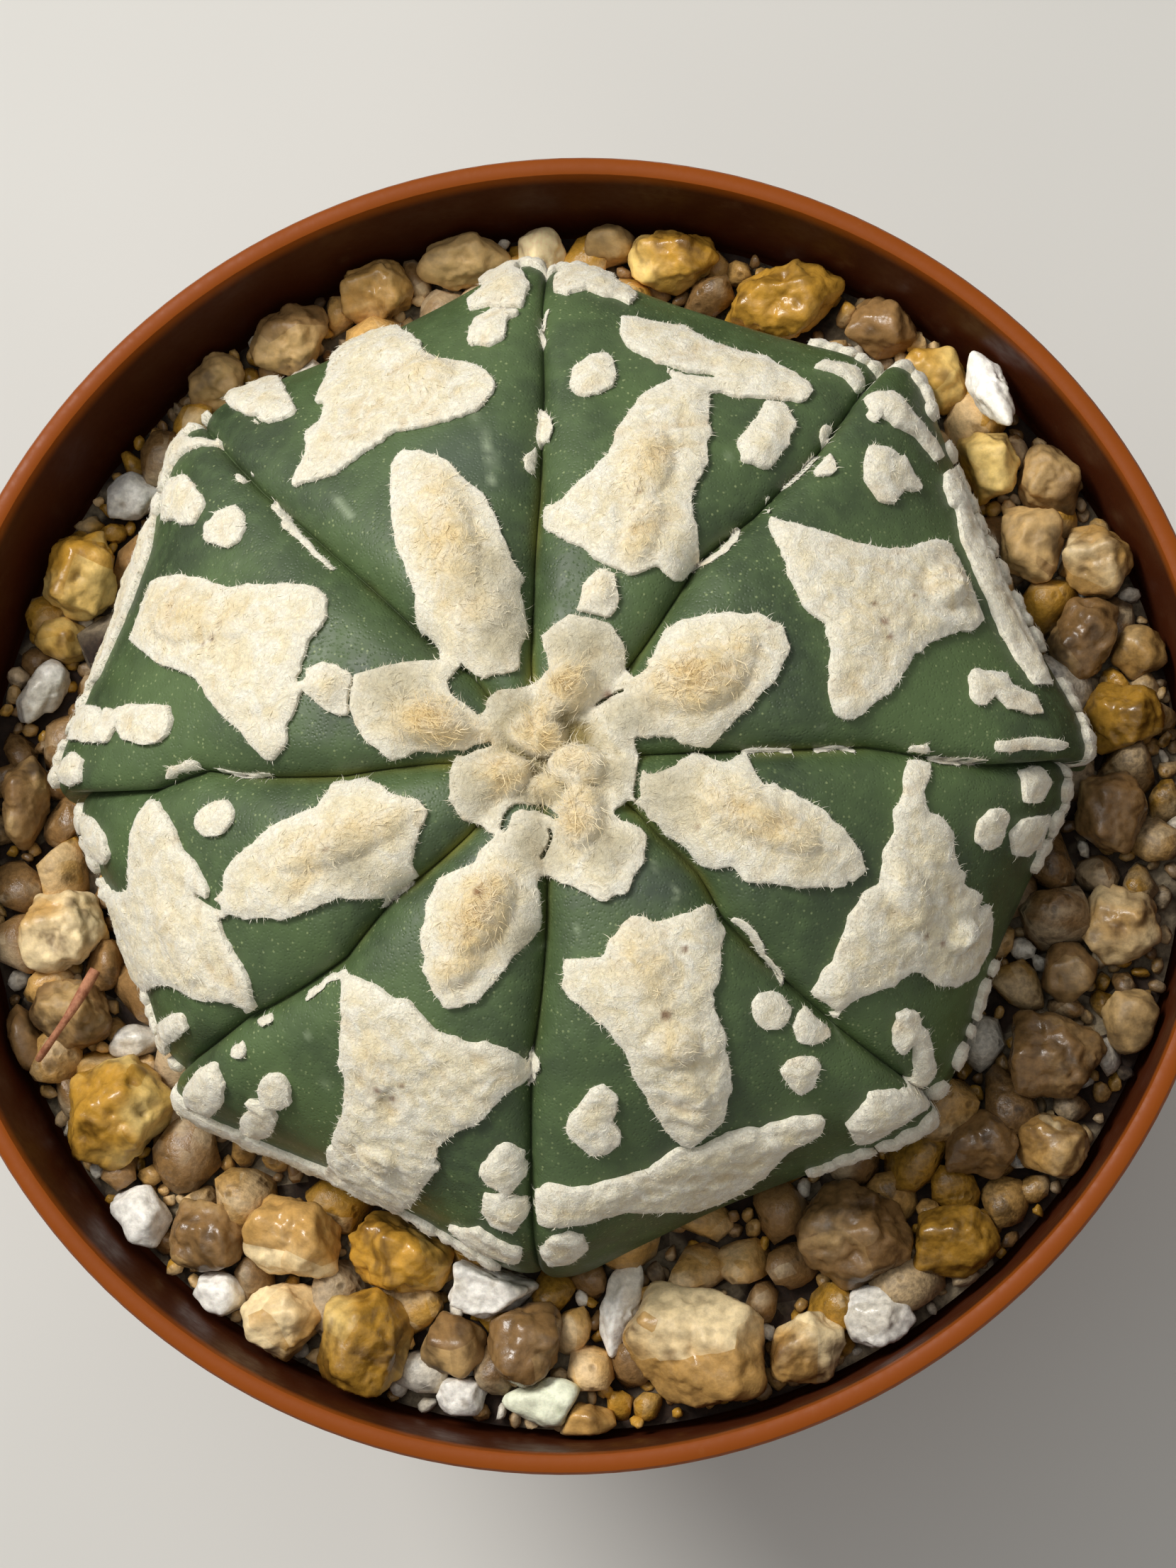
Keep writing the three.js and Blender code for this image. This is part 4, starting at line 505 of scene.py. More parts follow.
def skin(x, y, lift, fill=0.0):
    """Points on the plant, raised by lift and with its grooves filled by a share, from the flat map."""
    s = np.minimum(np.hypot(x, y), ARC[-1])
    azimuth = np.arctan2(y, x)
    radius, height = np.interp(s, ARC, LINE[:, 0]), np.interp(s, ARC, LINE[:, 1])
    across, down = np.interp(s, ARC, TANGENT[:, 0]), np.interp(s, ARC, TANGENT[:, 1])
    place, half = place_in_rib(x, y)
    roll = np.minimum((1 - np.abs(place)) * half * radius / along(GROOVE_ROLL, s), 1)
    groove = along(GROOVE_DEPTH, s) * (1 - np.sqrt(1 - (1 - roll) ** 2))
    swell = along(RIB_SWELL, s) * (1 - place ** 2)
    corner = along(RIB_CORNER, s) * radius * (1 / np.cos(half * place) - 1)
    out = swell + corner - GROOVE_SHARE * groove * (1 - fill) + lift
    r, z = radius - down * out, height + across * out
    lean = np.clip(z / CREST[1][1], 0, 1)
    return np.stack([
        AXIS[0] + LEAN[0] * lean + r * np.cos(azimuth),
        AXIS[1] + LEAN[1] * lean + r * np.sin(azimuth),
        WIDEST + z,
    ], -1)


def outline(points, closed=True, steps=6):
    """Smooth line through points."""
    p = np.array(points, float)
    w = (np.arange(steps) / steps)[:, None, None]
    if closed:
        a, b, c, d = np.roll(p, 1, 0), p, np.roll(p, -1, 0), np.roll(p, -2, 0)
    else:
        q = np.concatenate([p[:1], p, p[-1:]])
        a, b, c, d = q[:-3], q[1:-2], q[2:-1], q[3:]
    line = 0.5 * (
        2 * b + (c - a) * w + (2 * a - 5 * b + 4 * c - d) * w ** 2 + (3 * b - a - 3 * c + d) * w ** 3)
    line = line.transpose(1, 0, 2).reshape(-1, p.shape[1])
    return line if closed else np.concatenate([line, p[-1:]])


def distance_to(x, y, line, closed):
    """Distance to a line; to a closed outline it is negative inside."""
    ends = np.roll(line, -1, 0) if closed else line[1:]
    starts = line if closed else line[:-1]
    best = np.full(x.shape, 1e9)
    inside = np.zeros(x.shape, bool)
    for (ax, ay), (bx, by) in zip(starts, ends):
        dx, dy = bx - ax, by - ay
        t = np.clip(((x - ax) * dx + (y - ay) * dy) / max(dx * dx + dy * dy, 1e-12), 0, 1)
        best = np.minimum(best, (x - ax - t * dx) ** 2 + (y - ay - t * dy) ** 2)
        if closed and ay != by:
            crosses = (ay > y) != (by > y)
            inside ^= crosses & (x < ax + (y - ay) / (by - ay) * dx)
    best = np.sqrt(best)
    return np.where(inside, -best, best) if closed else best


def oval_reach(x, y, cx, cy, long, wide, turn):
    """Distance from the middle of an oval, as a share of its half size."""
    c, s = math.cos(math.radians(turn)), math.sin(math.radians(turn))
    u, v = (x - cx) * c + (y - cy) * s, (y - cy) * c - (x - cx) * s
    return np.hypot(u / long, v / wide)


# ---- Meshes ----

def add_mesh(name, points, faces):
    """Smooth object at the origin from points and faces."""
    mesh = bpy.data.meshes.new(name)
    mesh.from_pydata((np.asarray(points) * MM).tolist(), [], [list(f) for f in faces])
    mesh.polygons.foreach_set("use_smooth", [True] * len(mesh.polygons))
    mesh.update()
    made = bpy.data.objects.new(name, mesh)
    bpy.context.collection.objects.link(made)
    return made


def add_attribute(made, name, values):
    attribute = made.data.attributes.new(name, "FLOAT", "POINT")
    attribute.data.foreach_set("value", np.asarray(values, np.float32))


def deselect():
    if bpy.context.object and bpy.context.object.mode != "OBJECT":
        bpy.ops.object.mode_set(mode="OBJECT")
    bpy.ops.object.select_all(action="DESELECT")


def only(made):
    deselect()
    made.select_set(True)
    bpy.context.view_layer.objects.active = made


def seat(made):
    """Puts the object's place into its mesh."""
    only(made)
    bpy.ops.object.transform_apply(location=True, rotation=True, scale=True)


def turn_outward(made, closing=()):
    """Turns the normals outward, after closing the ring of the points with these numbers."""
    mesh = bmesh.new()
    mesh.from_mesh(made.data)
    if closing:
        mesh.verts.ensure_lookup_table()
        mesh.faces.new([mesh.verts[i] for i in closing])
    bmesh.ops.recalc_face_normals(mesh, faces=mesh.faces)
    mesh.to_mesh(made.data)
    mesh.free()


def finish_piece(made, material, nodes=()):
    """Gives a piece its material and its body, and hides the CAD nodes that it stands for."""
    made.data.materials.clear()
    made.data.materials.append(material)
    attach(made, "root")
    if nodes:
        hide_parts(*nodes)
    return made


# ---- Materials ----

class Maker:
    """Adds nodes to a material or a group and links them."""

    def __init__(self, tree):
        self.tree = tree

    def add(self, kind, inputs=None, **settings):
        made = self.tree.nodes.new(kind)
        for key, value in settings.items():
            setattr(made, key, value)
        for key, value in (inputs or {}).items():
            self.put(made.inputs[key], value)
        return made

    def put(self, socket, value):
        if isinstance(value, bpy.types.NodeSocket):
            self.tree.links.new(value, socket)
        elif isinstance(value, bpy.types.Node):
            self.tree.links.new(value.outputs[0], socket)
        elif socket.type == "RGBA" and len(value) == 3:
            socket.default_value = (*value, 1)
        else:
            socket.default_value = value

    def noise(self, place, scale, detail=3.0, roughness=0.55, distortion=0.0):
        return self.add("ShaderNodeTexNoise", {
            "Vector": place, "Scale": scale, "Detail": detail, "Roughness": roughness,
            "Distortion": distortion}).outputs["Fac"]

    def ramp(self, value, low, high, to_low=0.0, to_high=1.0):
        return self.add("ShaderNodeMapRange", {
            "Value": value, "From Min": low, "From Max": high, "To Min": to_low, "To Max": to_high},
            interpolation_type="SMOOTHSTEP").outputs["Result"]

    def blend(self, share, first, second, kind="MIX"):
        made = self.add("ShaderNodeMix", data_type="RGBA", blend_type=kind)
        self.put(made.inputs["Factor"], share)
        self.put(made.inputs[6], first)
        self.put(made.inputs[7], second)
        return made.outputs[2]

    def math(self, kind, first, second):
        return self.add("ShaderNodeMath", {0: first, 1: second}, operation=kind).outputs[0]

    def times(self, first, second):
        return self.math("MULTIPLY", first, second)

    def plus(self, first, second):
        return self.math("ADD", first, second)

    def minus(self, first, second):
        return self.math("SUBTRACT", first, second)

    def cells(self, place, scale):
        """Distance from the middles of random cells, and a random colour for each cell."""
        made = self.add("ShaderNodeTexVoronoi", {"Vector": place, "Scale": scale})
        return made.outputs["Distance"], made.outputs["Color"]

    def red(self, value):
        return self.add("ShaderNodeSeparateColor", {"Color": value}).outputs[0]

    def attribute(self, name):
        return self.add("ShaderNodeAttribute", attribute_name=name).outputs["Fac"]

    def place(self):
        return self.add("ShaderNodeTexCoord").outputs["Object"]

    def bump(self, height, distance, strength=1.0):
        return self.add("ShaderNodeBump", {
            "Height": height, "Distance": distance, "Strength": strength}).outputs["Normal"]


def material(name, **shader):
    """New material, its node maker and its shader with the given plain values."""
    made = bpy.data.materials.new(name)
    made.use_nodes = True
    maker = Maker(made.node_tree)
    principled = made.node_tree.nodes["Principled BSDF"]
    for key, value in shader.items():
        maker.put(principled.inputs[key.replace("_", " ")], value)
    return made, maker, principled


def mineral_group():
    """Node group of a mottled, pitted mineral: colour, roughness and height."""
    if "Mottled mineral" in bpy.data.node_groups:
        return bpy.data.node_groups["Mottled mineral"]
    group = bpy.data.node_groups.new("Mottled mineral", "ShaderNodeTree")
    for name, kind in (
            ("Base", "Color"), ("Vein", "Color"), ("Dark", "Color"), ("Grain", "Float"),
            ("Vein share", "Float"), ("Dark share", "Float"), ("Tone", "Float")):
        group.interface.new_socket(name, in_out="INPUT", socket_type="NodeSocket" + kind)
    for name, kind in (("Color", "Color"), ("Roughness", "Float"), ("Height", "Float")):
        group.interface.new_socket(name, in_out="OUTPUT", socket_type="NodeSocket" + kind)
    m = Maker(group)
    given = m.add("NodeGroupInput").outputs
    place, grain = m.place(), given["Grain"]
    broad = m.noise(place, m.times(grain, 0.42), 2, 0.5, 0.6)
    middle = m.noise(place, grain, 4, 0.6, 0.4)
    fine = m.noise(place, m.times(grain, 6.0), 4, 0.65)
    _, crystals = m.cells(place, m.times(grain, 1.15))
    share = m.plus(m.times(broad, 0.9), m.times(m.red(crystals), 0.12))
    vein = m.ramp(m.plus(share, m.times(m.minus(given["Vein share"], 0.5), 0.45)), 0.44, 0.6)
    tinted = m.blend(vein, given["Base"], given["Vein"])
    dark = m.ramp(m.plus(middle, m.times(m.minus(given["Dark share"], 0.5), 0.4)), 0.52, 0.7)
    stained = m.blend(m.times(dark, 0.85), tinted, given["Dark"])
    pits, _ = m.cells(place, m.times(grain, 2.6))
    pitted_here = m.ramp(m.noise(place, m.times(grain, 0.9), 2), 0.45, 0.62)
    pit = m.times(m.minus(1.0, m.ramp(pits, 0.12, 0.42)), pitted_here)
    pitted = m.blend(m.times(pit, 0.55), stained, given["Dark"])
    # The tone raises or lowers the colour's value; for the stones and grains it holds painted shade and
    # painted light as well as a random tone
    value = m.plus(m.times(m.ramp(fine, 0.3, 0.7), 0.4), m.times(given["Tone"], 0.8))
    lit = m.add("ShaderNodeHueSaturation", {"Color": pitted, "Value": value})
    height = m.plus(m.times(fine, 0.45), m.plus(m.times(middle, 0.8), m.times(m.minus(1.0, pit), 0.5)))
    out = m.add("NodeGroupOutput")
    m.put(out.inputs["Color"], lit.outputs[0])
    m.put(out.inputs["Roughness"], m.ramp(share, 0.4, 0.62, 0.22, 0.58))
    m.put(out.inputs["Height"], height)
    return group


def mineral_look(m, shader, relief, **given):
    """Joins the mineral group, with the given inputs, to the shader of a material."""
    stone = m.add("ShaderNodeGroup", node_tree=mineral_group())
    for key, value in given.items():
        m.put(stone.inputs[key.replace("_", " ")], value)
    m.put(shader.inputs["Base Color"], stone.outputs["Color"])
    m.put(shader.inputs["Roughness"], stone.outputs["Roughness"])
    m.put(shader.inputs["Normal"], m.bump(stone.outputs["Height"], relief * MM))
    return stone


def mineral(name, base, vein, dark, grain, vein_share, dark_share, relief=0.12):
    made, m, shader = material(
        name, Subsurface_Weight=0.06, Subsurface_Radius=(0.0012, 0.0008, 0.0004))
    mineral_look(m, shader, relief, Base=base, Vein=srgb(vein), Dark=srgb(dark), Grain=grain,
                 Vein_share=vein_share, Dark_share=dark_share, Tone=m.attribute("tone_light_and_shade"))
    return made


# ---- Settings ----

class PotSettings(bpy.types.PropertyGroup):
    height: length("Height", 60, "Height of the pot")
    rim: length("Rim radius", 35, "Outer radius of the rim")
    wall: length("Rim wall", 1.15, "Thickness of the wall at the rim")
    plastic: colour("Plastic", "89430E", "Colour of the plastic")
    # The inside colour is painted shade: it darkens the inner wall below the rim, and is not a stain of
    # the plastic
    inside: colour("Inside", "34150B", "Colour of the stained plastic below the rim")


class PlantSettings(bpy.types.PropertyGroup):
    green: colour("Green", "50643A", "Colour of the lit skin")
    shade: colour("Deep green", "34422A", "Colour of the skin's darker patches")
    fleck: colour("Speckle", "909C6C", "Colour of the tiny speckles")
    groove: colour("Groove", "83823A", "Tinge at the bottom of the grooves near the crown")
    scar: colour("Scar", "B9C6A4", "Colour of scars and scratches")
    cork: colour("Cork", "6B4B2E", "Colour of the corky taproot")
    columns: bpy.props.IntProperty(name="Columns", description="Faces across a rib", default=40, min=8)


class WoolSettings(bpy.types.PropertyGroup):
    spacing: length("Spacing", 0.17, "Distance between the points of the wool's mesh")
    thickness: length("Thickness", 0.55, "Thickness of the felt")
    cream: colour("Cream", "F0E3C0", "Colour of the felt")
    pale: colour("Pale", "F8F2DF", "Colour of the felt's thin edges")
    tan: colour("Tan", "EBD097", "Colour of the tufts")
    grey: colour("Grey", "C3B99C", "Colour of worn felt near the crown")
    stain: colour("Stain", "7D4B2A", "Colour of the brown stains")
    # The crease colour is painted shade, deep between the tufts of the crown
    crease_shade: colour("Crease", "8A7A42", "Colour deep between the tufts of the crown")
    hairs: bpy.props.IntProperty(
        name="Hairs", description="Hairs on each square millimetre", default=46, min=0)


class GritSettings(bpy.types.PropertyGroup):
    grains: bpy.props.IntProperty(
        name="Grains", description="Small grains in the bed", default=1350, min=0)
    tan: colour("Tan", "C09656", "Colour of the tan stones")
    ochre: colour("Ochre", "B68833", "Colour of the golden stones")
    white: colour("White", "E4DCCB", "Colour of the white chips")
    brown: colour("Brown", "8A6940", "Colour of the brown stones")
    green: colour("Pale green", "BCC49C", "Colour of the pale green stone")


class StageSettings(bpy.types.PropertyGroup):
    focal: bpy.props.FloatProperty(
        name="Focal length", description="Camera lens", default=74.86, unit="CAMERA")
    floor: colour("Floor", "CFCDC7", "Colour of the floor")
    key: bpy.props.FloatProperty(
        name="Key light", description="Power of the key light", default=2.6, unit="POWER")
    fill: bpy.props.FloatProperty(name="Sky", description="Strength of the even light", default=0.38)


# ---- Pot ----

def pot_material(settings):
    made, m, shader = material("Moulded plastic", Roughness=0.42, Specular_IOR_Level=0.12)
    place = m.place()
    up = m.add("ShaderNodeSeparateXYZ", {"Vector": place}).outputs["Z"]
    cloud, fine = m.noise(place, 90, 3), m.noise(place, 1500, 4, 0.6)
    # Painted shade: below the rim the inner wall is darkened towards the inside colour; what is called
    # stained here is this painted shade
    below = m.ramp(m.plus(up, m.times(cloud, 0.001)), 0.0604, 0.0592)
    base = m.blend(m.ramp(cloud, 0.35, 0.7, 0.0, 0.35), settings.plastic, scaled(settings.plastic, 0.8))
    stained = m.blend(m.times(m.times(below, m.attribute("inner")), 0.9), base, settings.inside)
    dust = m.times(m.ramp(m.noise(place, 420, 5, 0.7), 0.58, 0.75), 0.05)
    m.put(shader.inputs["Base Color"], m.blend(dust, stained, srgb("C79A6B")))
    m.put(shader.inputs["Roughness"], m.plus(m.ramp(fine, 0.3, 0.7, 0.3, 0.46), m.times(cloud, 0.12)))
    height = m.plus(fine, m.times(m.noise(place, 140, 2), 2.0))
    m.put(shader.inputs["Normal"], m.bump(height, 0.02 * MM, 0.6))
    return made


class CACTUS_OT_pot(bpy.types.Operator):
    """Moulds the pot: a thin tapered wall with a collar, a recessed base and drainage holes"""
    bl_idname = "cactus.pot"
    bl_label = "Pot"

    def execute(self, context):
        s = context.scene.cactus_pot
        top, rim, wall = s.height / MM, s.rim / MM, s.wall / MM
        inner = rim - wall
        profile = [
            (19.5, 1.0), (20.1, 0.0), (23.9, 0.0), (24.3, 0.15), (24.5, 0.6), (32.75, 50.3),
            (32.95, 50.75), (33.3, 50.95), (34.2, 51.0), (34.45, 51.12), (34.55, 51.4),
            (rim - 0.05, top - 0.6), (rim - 0.08, top - 0.25), (rim - 0.2, top - 0.07), (rim - 0.38, top),
            (inner + 0.3, top), (inner + 0.1, top - 0.1), (inner, top - 0.35), (inner - 0.45, 51.6),
            (inner - 0.6, 51.0), (inner - 1.55, 50.1), (inner - 1.9, 49.8), (24.4, 3.4), (23.9, 2.6),
            (23.2, 2.3),
        ]
        deselect()
        radius, height = profile[0]
        bpy.ops.mesh.primitive_circle_add(
            vertices=POT_SIDES, radius=radius * MM, location=(0, 0, height * MM))
        made = context.object
        made.name = made.data.name = "nursery_pot"
        bpy.ops.object.mode_set(mode="EDIT")
        bpy.ops.mesh.select_all(action="SELECT")
        for r, z in profile[1:]:
            rise = (0, 0, (z - height) * MM)
            bpy.ops.mesh.extrude_region_move(TRANSFORM_OT_translate={"value": rise})
            bpy.ops.transform.resize(value=(r / radius, r / radius, 1), center_override=(0, 0, 0))
            radius, height = r, z
        bpy.ops.mesh.edge_face_add()
        bpy.ops.mesh.select_all(action="DESELECT")
        bpy.ops.object.mode_set(mode="OBJECT")
        seat(made)
        turn_outward(made, range(POT_SIDES))
        drills = []
        for i in range(HOLES):
            angle = 2 * math.pi / HOLES * i
            deselect()
            bpy.ops.mesh.primitive_cylinder_add(
                vertices=40, radius=HOLE_RADIUS * MM, depth=9 * MM,
                location=(HOLE_RING * MM * math.cos(angle), HOLE_RING * MM * math.sin(angle), 1.5 * MM))
            drills.append(context.object)
        deselect()
        for drill in drills:
            drill.select_set(True)
        context.view_layer.objects.active = drills[0]
        bpy.ops.object.join()
        drill = context.object
        only(made)
        cut = made.modifiers.new("Drainage holes", "BOOLEAN")
        cut.operation, cut.solver, cut.object = "DIFFERENCE", "EXACT", drill
        bpy.ops.object.modifier_apply(modifier=cut.name)
        bpy.data.objects.remove(drill)
        bevel = made.modifiers.new("Soft edges", "BEVEL")
        bevel.width, bevel.segments = 0.12 * MM, 2
        bevel.limit_method, bevel.angle_limit = "ANGLE", math.radians(50)
        bpy.ops.object.modifier_apply(modifier=bevel.name)
        bpy.ops.object.shade_smooth_by_angle(angle=math.radians(35))
        x, y, z = np.array([v.co for v in made.data.vertices]).T / MM
        # Mask of the inner wall above the base, where the material paints shade
        inside = along([[2, 23.6], [50, inner - 1.5], [51.5, inner + 0.1], [60, inner + 0.2]], z)
        add_attribute(made, "inner", (np.hypot(x, y) < inside) & (z > 2))
        finish_piece(made, pot_material(s), ["pot"])
        return {"FINISHED"}


class CACTUS_OT_potting_mix(bpy.types.Operator):
    """Gives the potting mix its crumbly dark look"""
    bl_idname = "cactus.potting_mix"
    bl_label = "Potting mix"

    def execute(self, context):
        made, m, shader = material("Potting mix", Roughness=0.95)
        place = m.place()
        crumb = m.noise(place, 900, 5, 0.7)
        chips, _ = m.cells(place, 600.0)
        mixed = m.blend(m.ramp(crumb, 0.35, 0.7), srgb("20160F"), srgb("5A4230"))
        mixed = m.blend(m.ramp(chips, 0.25, 0.1, 0, 0.5), mixed, srgb("8A7258"))
        m.put(shader.inputs["Base Color"], mixed)
        m.put(shader.inputs["Normal"], m.bump(m.plus(crumb, chips), 0.5 * MM))
        node = frame["nodes"]["potting_mix"]
        node.data.materials.clear()
        node.data.materials.append(made)
        return {"FINISHED"}


# ---- Stones and grit ----

def ball(level):
    """Points and triangles of a round ball of unit radius."""
    deselect()
    bpy.ops.mesh.primitive_ico_sphere_add(subdivisions=level, radius=1)
    made = bpy.context.object
    points = np.array([v.co for v in made.data.vertices])
    faces = np.array([list(p.vertices) for p in made.data.polygons])
    data = made.data
    bpy.data.objects.remove(made)
    bpy.data.meshes.remove(data)
    return points / np.linalg.norm(points, axis=1)[:, None], faces


def neighbours(faces, count):
    """Pairs of neighbouring points, both ways, and how many each point has."""
    edges = np.concatenate([faces[:, [0, 1]], faces[:, [1, 2]], faces[:, [2, 0]]])
    return edges, np.bincount(edges[:, 0], minlength=count)


def facets(directions, draw, planes):
    """Reach of an angular broken form in each direction, about 1."""
    normals = draw.randn(planes, 3)
    normals /= np.linalg.norm(normals, axis=1)[:, None]
    depth = draw.uniform(0.72, 1.0, planes)
    facing = directions @ normals.T
    return np.minimum(np.where(facing > 0.15, depth / np.maximum(facing, 0.15), 9).min(1), 1.25)


def stone_points(node, directions, edges, degree, seed):
    """Weathered form of a CAD stone: broken faces, worn corners, chips and pits."""
    mesh = node.data
    points = np.array([v.co for v in mesh.vertices]) / MM
    low, high = points.min(0), points.max(0)
    centre = (low + high) / 2
    tree = BVHTree.FromPolygons(points.tolist(), [list(p.vertices) for p in mesh.polygons])
    hits = np.empty(len(directions))
    for i, direction in enumerate(directions):
        hit = tree.ray_cast(Vector(centre), Vector(direction))
        hits[i] = hit[3] if hit[3] is not None else 0.2
    size = (high - low).mean() / 2
    draw = np.random.RandomState(seed)
    hits = hits * (0.55 + 0.47 * np.minimum(facets(directions, draw, 22), 1.06))
    for _ in range(1 if len(directions) < 1000 else 3):
        mean = np.bincount(edges[:, 0], hits[edges[:, 1]], minlength=len(hits)) / degree
        hits = 0.5 * hits + 0.5 * mean
    where = directions * hits[:, None] + seed * 7.1
    ridges = 1 - 2 * np.abs(rough(where / 1.5, 3, seed))
    lumps = rough(where / 2.6, 2, seed + 1)
    crumbs = rough(where / 0.55, 3, seed + 2)
    pits = np.clip(rough(where / 0.8, 3, seed + 4) - 0.12, 0, 1)
    share = min(1, size / 2.6)
    hits = hits + 0.1 + share * (0.28 * lumps + 0.22 * ridges - 0.2 + 0.12 * crumbs - 0.5 * pits)
    return centre + directions * np.maximum(hits, 0.15)[:, None]


def mineral_materials(s):
    """Materials of the five kinds of stone, by the slots of the CAD."""
    return {
        "stone_tan": mineral("Tan stone", s.tan, "E8D0A0", "5A3A18", 260, 0.5, 0.45),
        "stone_ochre": mineral("Golden stone", s.ochre, "E0C074", "533610", 250, 0.45, 0.55),
        "stone_white": mineral("White chip", s.white, "F2EDE2", "9A8463", 420, 0.6, 0.1, 0.1),
        "stone_brown": mineral("Brown stone", s.brown, "BF9D66", "35230F", 250, 0.42, 0.5),
        "stone_green": mineral("Pale green stone", s.green, "E1E3C8", "7F8460", 360, 0.5, 0.1),
    }


def painted_shade_and_light(x, y):
    """Painted shade and light on the grit: 1 at the pot's lower right, where it paints shade, and below 0
    at the top, where it paints light.
    """
    return np.clip((x - 0.4 * y - 20) / 8, 0, 1) - 0.6 * np.clip((y - 20) / 5, 0, 1)


class CACTUS_OT_stones(bpy.types.Operator):
    """Weathers each loose stone of the top dressing"""
    bl_idname = "cactus.stones"
    bl_label = "Loose stones"

    def execute(self, context):
        minerals = mineral_materials(context.scene.cactus_grit)
        slots = {part["node"]: part["material_slot"] for part in frame["record"]["subparts"]}
        sizes = {}
        for level in (SMALL_DETAIL, LARGE_DETAIL):
            points, faces = ball(level)
            sizes[level] = (points, faces, *neighbours(faces, len(points)))
        for number, name in enumerate(sorted(n for n in frame["nodes"] if n.startswith("stone_"))):
            low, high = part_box(name)
            large = (high - low).length > LARGE_STONE * MM
            directions, faces, edges, degree = sizes[LARGE_DETAIL if large else SMALL_DETAIL]
            points = stone_points(frame["nodes"][name], directions, edges, degree, number)
            made = add_mesh("gravel_" + name[-2:], points, faces)
            draw = np.random.RandomState(number)
            middle = (low + high) / 2 / MM
            # Random tone of the stone, with painted shade at the lower right and painted light at the top
            tone_light_and_shade = (0.85 + 0.4 * draw.rand()) * (1 - 0.45 * painted_shade_and_light(middle.x, middle.y))
            add_attribute(made, "tone_light_and_shade", np.full(len(points), tone_light_and_shade))
            finish_piece(made, minerals[slots[name]], [name])
        return {"FINISHED"}


def bed_points():
    """Points and faces of the bed under the grains: bumpy on top, with a straight side."""
    rings = np.concatenate([[0.01], np.linspace(16, BED, 46)])
    turns = np.linspace(0, 2 * math.pi, 200, endpoint=False)
    radius, angle = np.meshgrid(rings, turns, indexing="ij")
    x, y = (radius * np.cos(angle)).ravel(), (radius * np.sin(angle)).ravel()
    points = [np.stack([x, y, BED_LEVEL + 0.55 * rough(flat(x, y, 2.2), 3, 1)], -1)]
    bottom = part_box("grit_bed")[0].z / MM
    for reach, level in ((BED, bottom + 4.9), (BED_FOOT, bottom)):
        points.append(np.stack(
            [reach * np.cos(turns), reach * np.sin(turns), np.full(len(turns), level)], -1))
    index = np.arange((len(rings) + 2) * len(turns)).reshape(-1, len(turns))
    nxt = np.roll(index, -1, 1)
    faces = np.stack([index[:-1], index[1:], nxt[1:], nxt[:-1]], -1).reshape(-1, 4).tolist()
    return np.concatenate(points), faces + [index[0].tolist()[::-1], index[-1].tolist()]


def grit_material(s):
    look, k, shader = material("Mixed grit")
    kind = k.attribute("kind")
    mixed = k.blend(k.ramp(kind, 0.0, 0.02), srgb("38271A"), s.brown)
    mixed = k.blend(k.ramp(kind, 0.34, 0.36), mixed, s.tan)
    mixed = k.blend(k.ramp(kind, 0.62, 0.64), mixed, s.ochre)
    mixed = k.blend(k.ramp(kind, 0.90, 0.92), mixed, s.white)
    stone = mineral_look(
        k, shader, 0.15, Base=mixed, Vein=k.blend(0.45, mixed, srgb("E6D2AC")),
        Dark=k.blend(0.75, mixed, srgb("1C130C")), Grain=500.0, Vein_share=0.45, Dark_share=0.45,
        Tone=k.attribute("tone_light_and_shade"))
    bed = k.ramp(kind, 0.02, 0.0, 0.0, 0.95)
    k.put(shader.inputs["Roughness"], k.math("MAXIMUM", stone.outputs["Roughness"], bed))
    return look


class CACTUS_OT_grit(bpy.types.Operator):
    """Lays the bed of small grit between the stones"""
    bl_idname = "cactus.grit"
    bl_label = "Grit bed"

    def execute(self, context):
        s = context.scene.cactus_grit
        draw = np.random.RandomState(5)
        bed, faces = bed_points()
        points, tones, kinds = [bed], [np.full(len(bed), 0.55)], [np.zeros(len(bed))]
        shape, triangles = ball(2)
        count, placed, tries = len(bed), [], 0
        boxes = [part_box(name) for name in frame["nodes"] if name.startswith("stone_")]
        middles = np.array([((a + b) / 2) / MM for a, b in boxes])
        halves = np.array([((b - a) / 2) / MM for a, b in boxes])
        while len(placed) < s.grains and tries < TRIES:
            tries += 1
            size = (2.1 - 1.6 * min(tries / 7000, 1)) * (0.75 + 0.5 * draw.rand())
            turn, reach = 2 * math.pi * draw.rand(), GRAINS_TO - size
            far = math.sqrt(GRAINS_FROM ** 2 + (reach ** 2 - GRAINS_FROM ** 2) * draw.rand())
            up = GRAIN_LEVEL + size * 0.3 + 0.8 * draw.rand()
            middle = np.array([far * math.cos(turn), far * math.sin(turn), up])
            if (((middle - middles) / (halves * 0.93 + size * 0.35)) ** 2).sum(1).min() < 1:
                continue
            if placed and min(np.linalg.norm(middle - p) - 0.72 * (size + q) for p, q in placed) < 0:
                continue
            placed.append((middle, size))
            turned = np.linalg.qr(draw.randn(3, 3))[0]
            stretch = np.array([1, 0.62 + 0.38 * draw.rand(), 0.55 + 0.35 * draw.rand()])
            bumps = facets(shape, draw, 12) * (1 + 0.1 * noise(shape * 1.7 + 31 * draw.rand(), 3))
            points.append(middle + (shape * stretch * bumps[:, None] * size) @ turned.T)
            faces.extend((triangles + count).tolist())
            # Random tone of the grain, with painted shade at the lower right and painted light at the top
            tone_light_and_shade = (0.6 + 0.7 * draw.rand()) * (1 - 0.5 * painted_shade_and_light(middle[0], middle[1]))
            tones.append(np.full(len(shape), tone_light_and_shade))
            kinds.append(np.full(len(shape), draw.rand()))
            count += len(shape)
        made = add_mesh("grit_bed_grains", np.concatenate(points), faces)
        add_attribute(made, "tone_light_and_shade", np.concatenate(tones))
        add_attribute(made, "kind", np.concatenate(kinds))
        turn_outward(made)
        finish_piece(made, grit_material(s), ["grit_bed"])
        return {"FINISHED"}


# ---- Plant ----

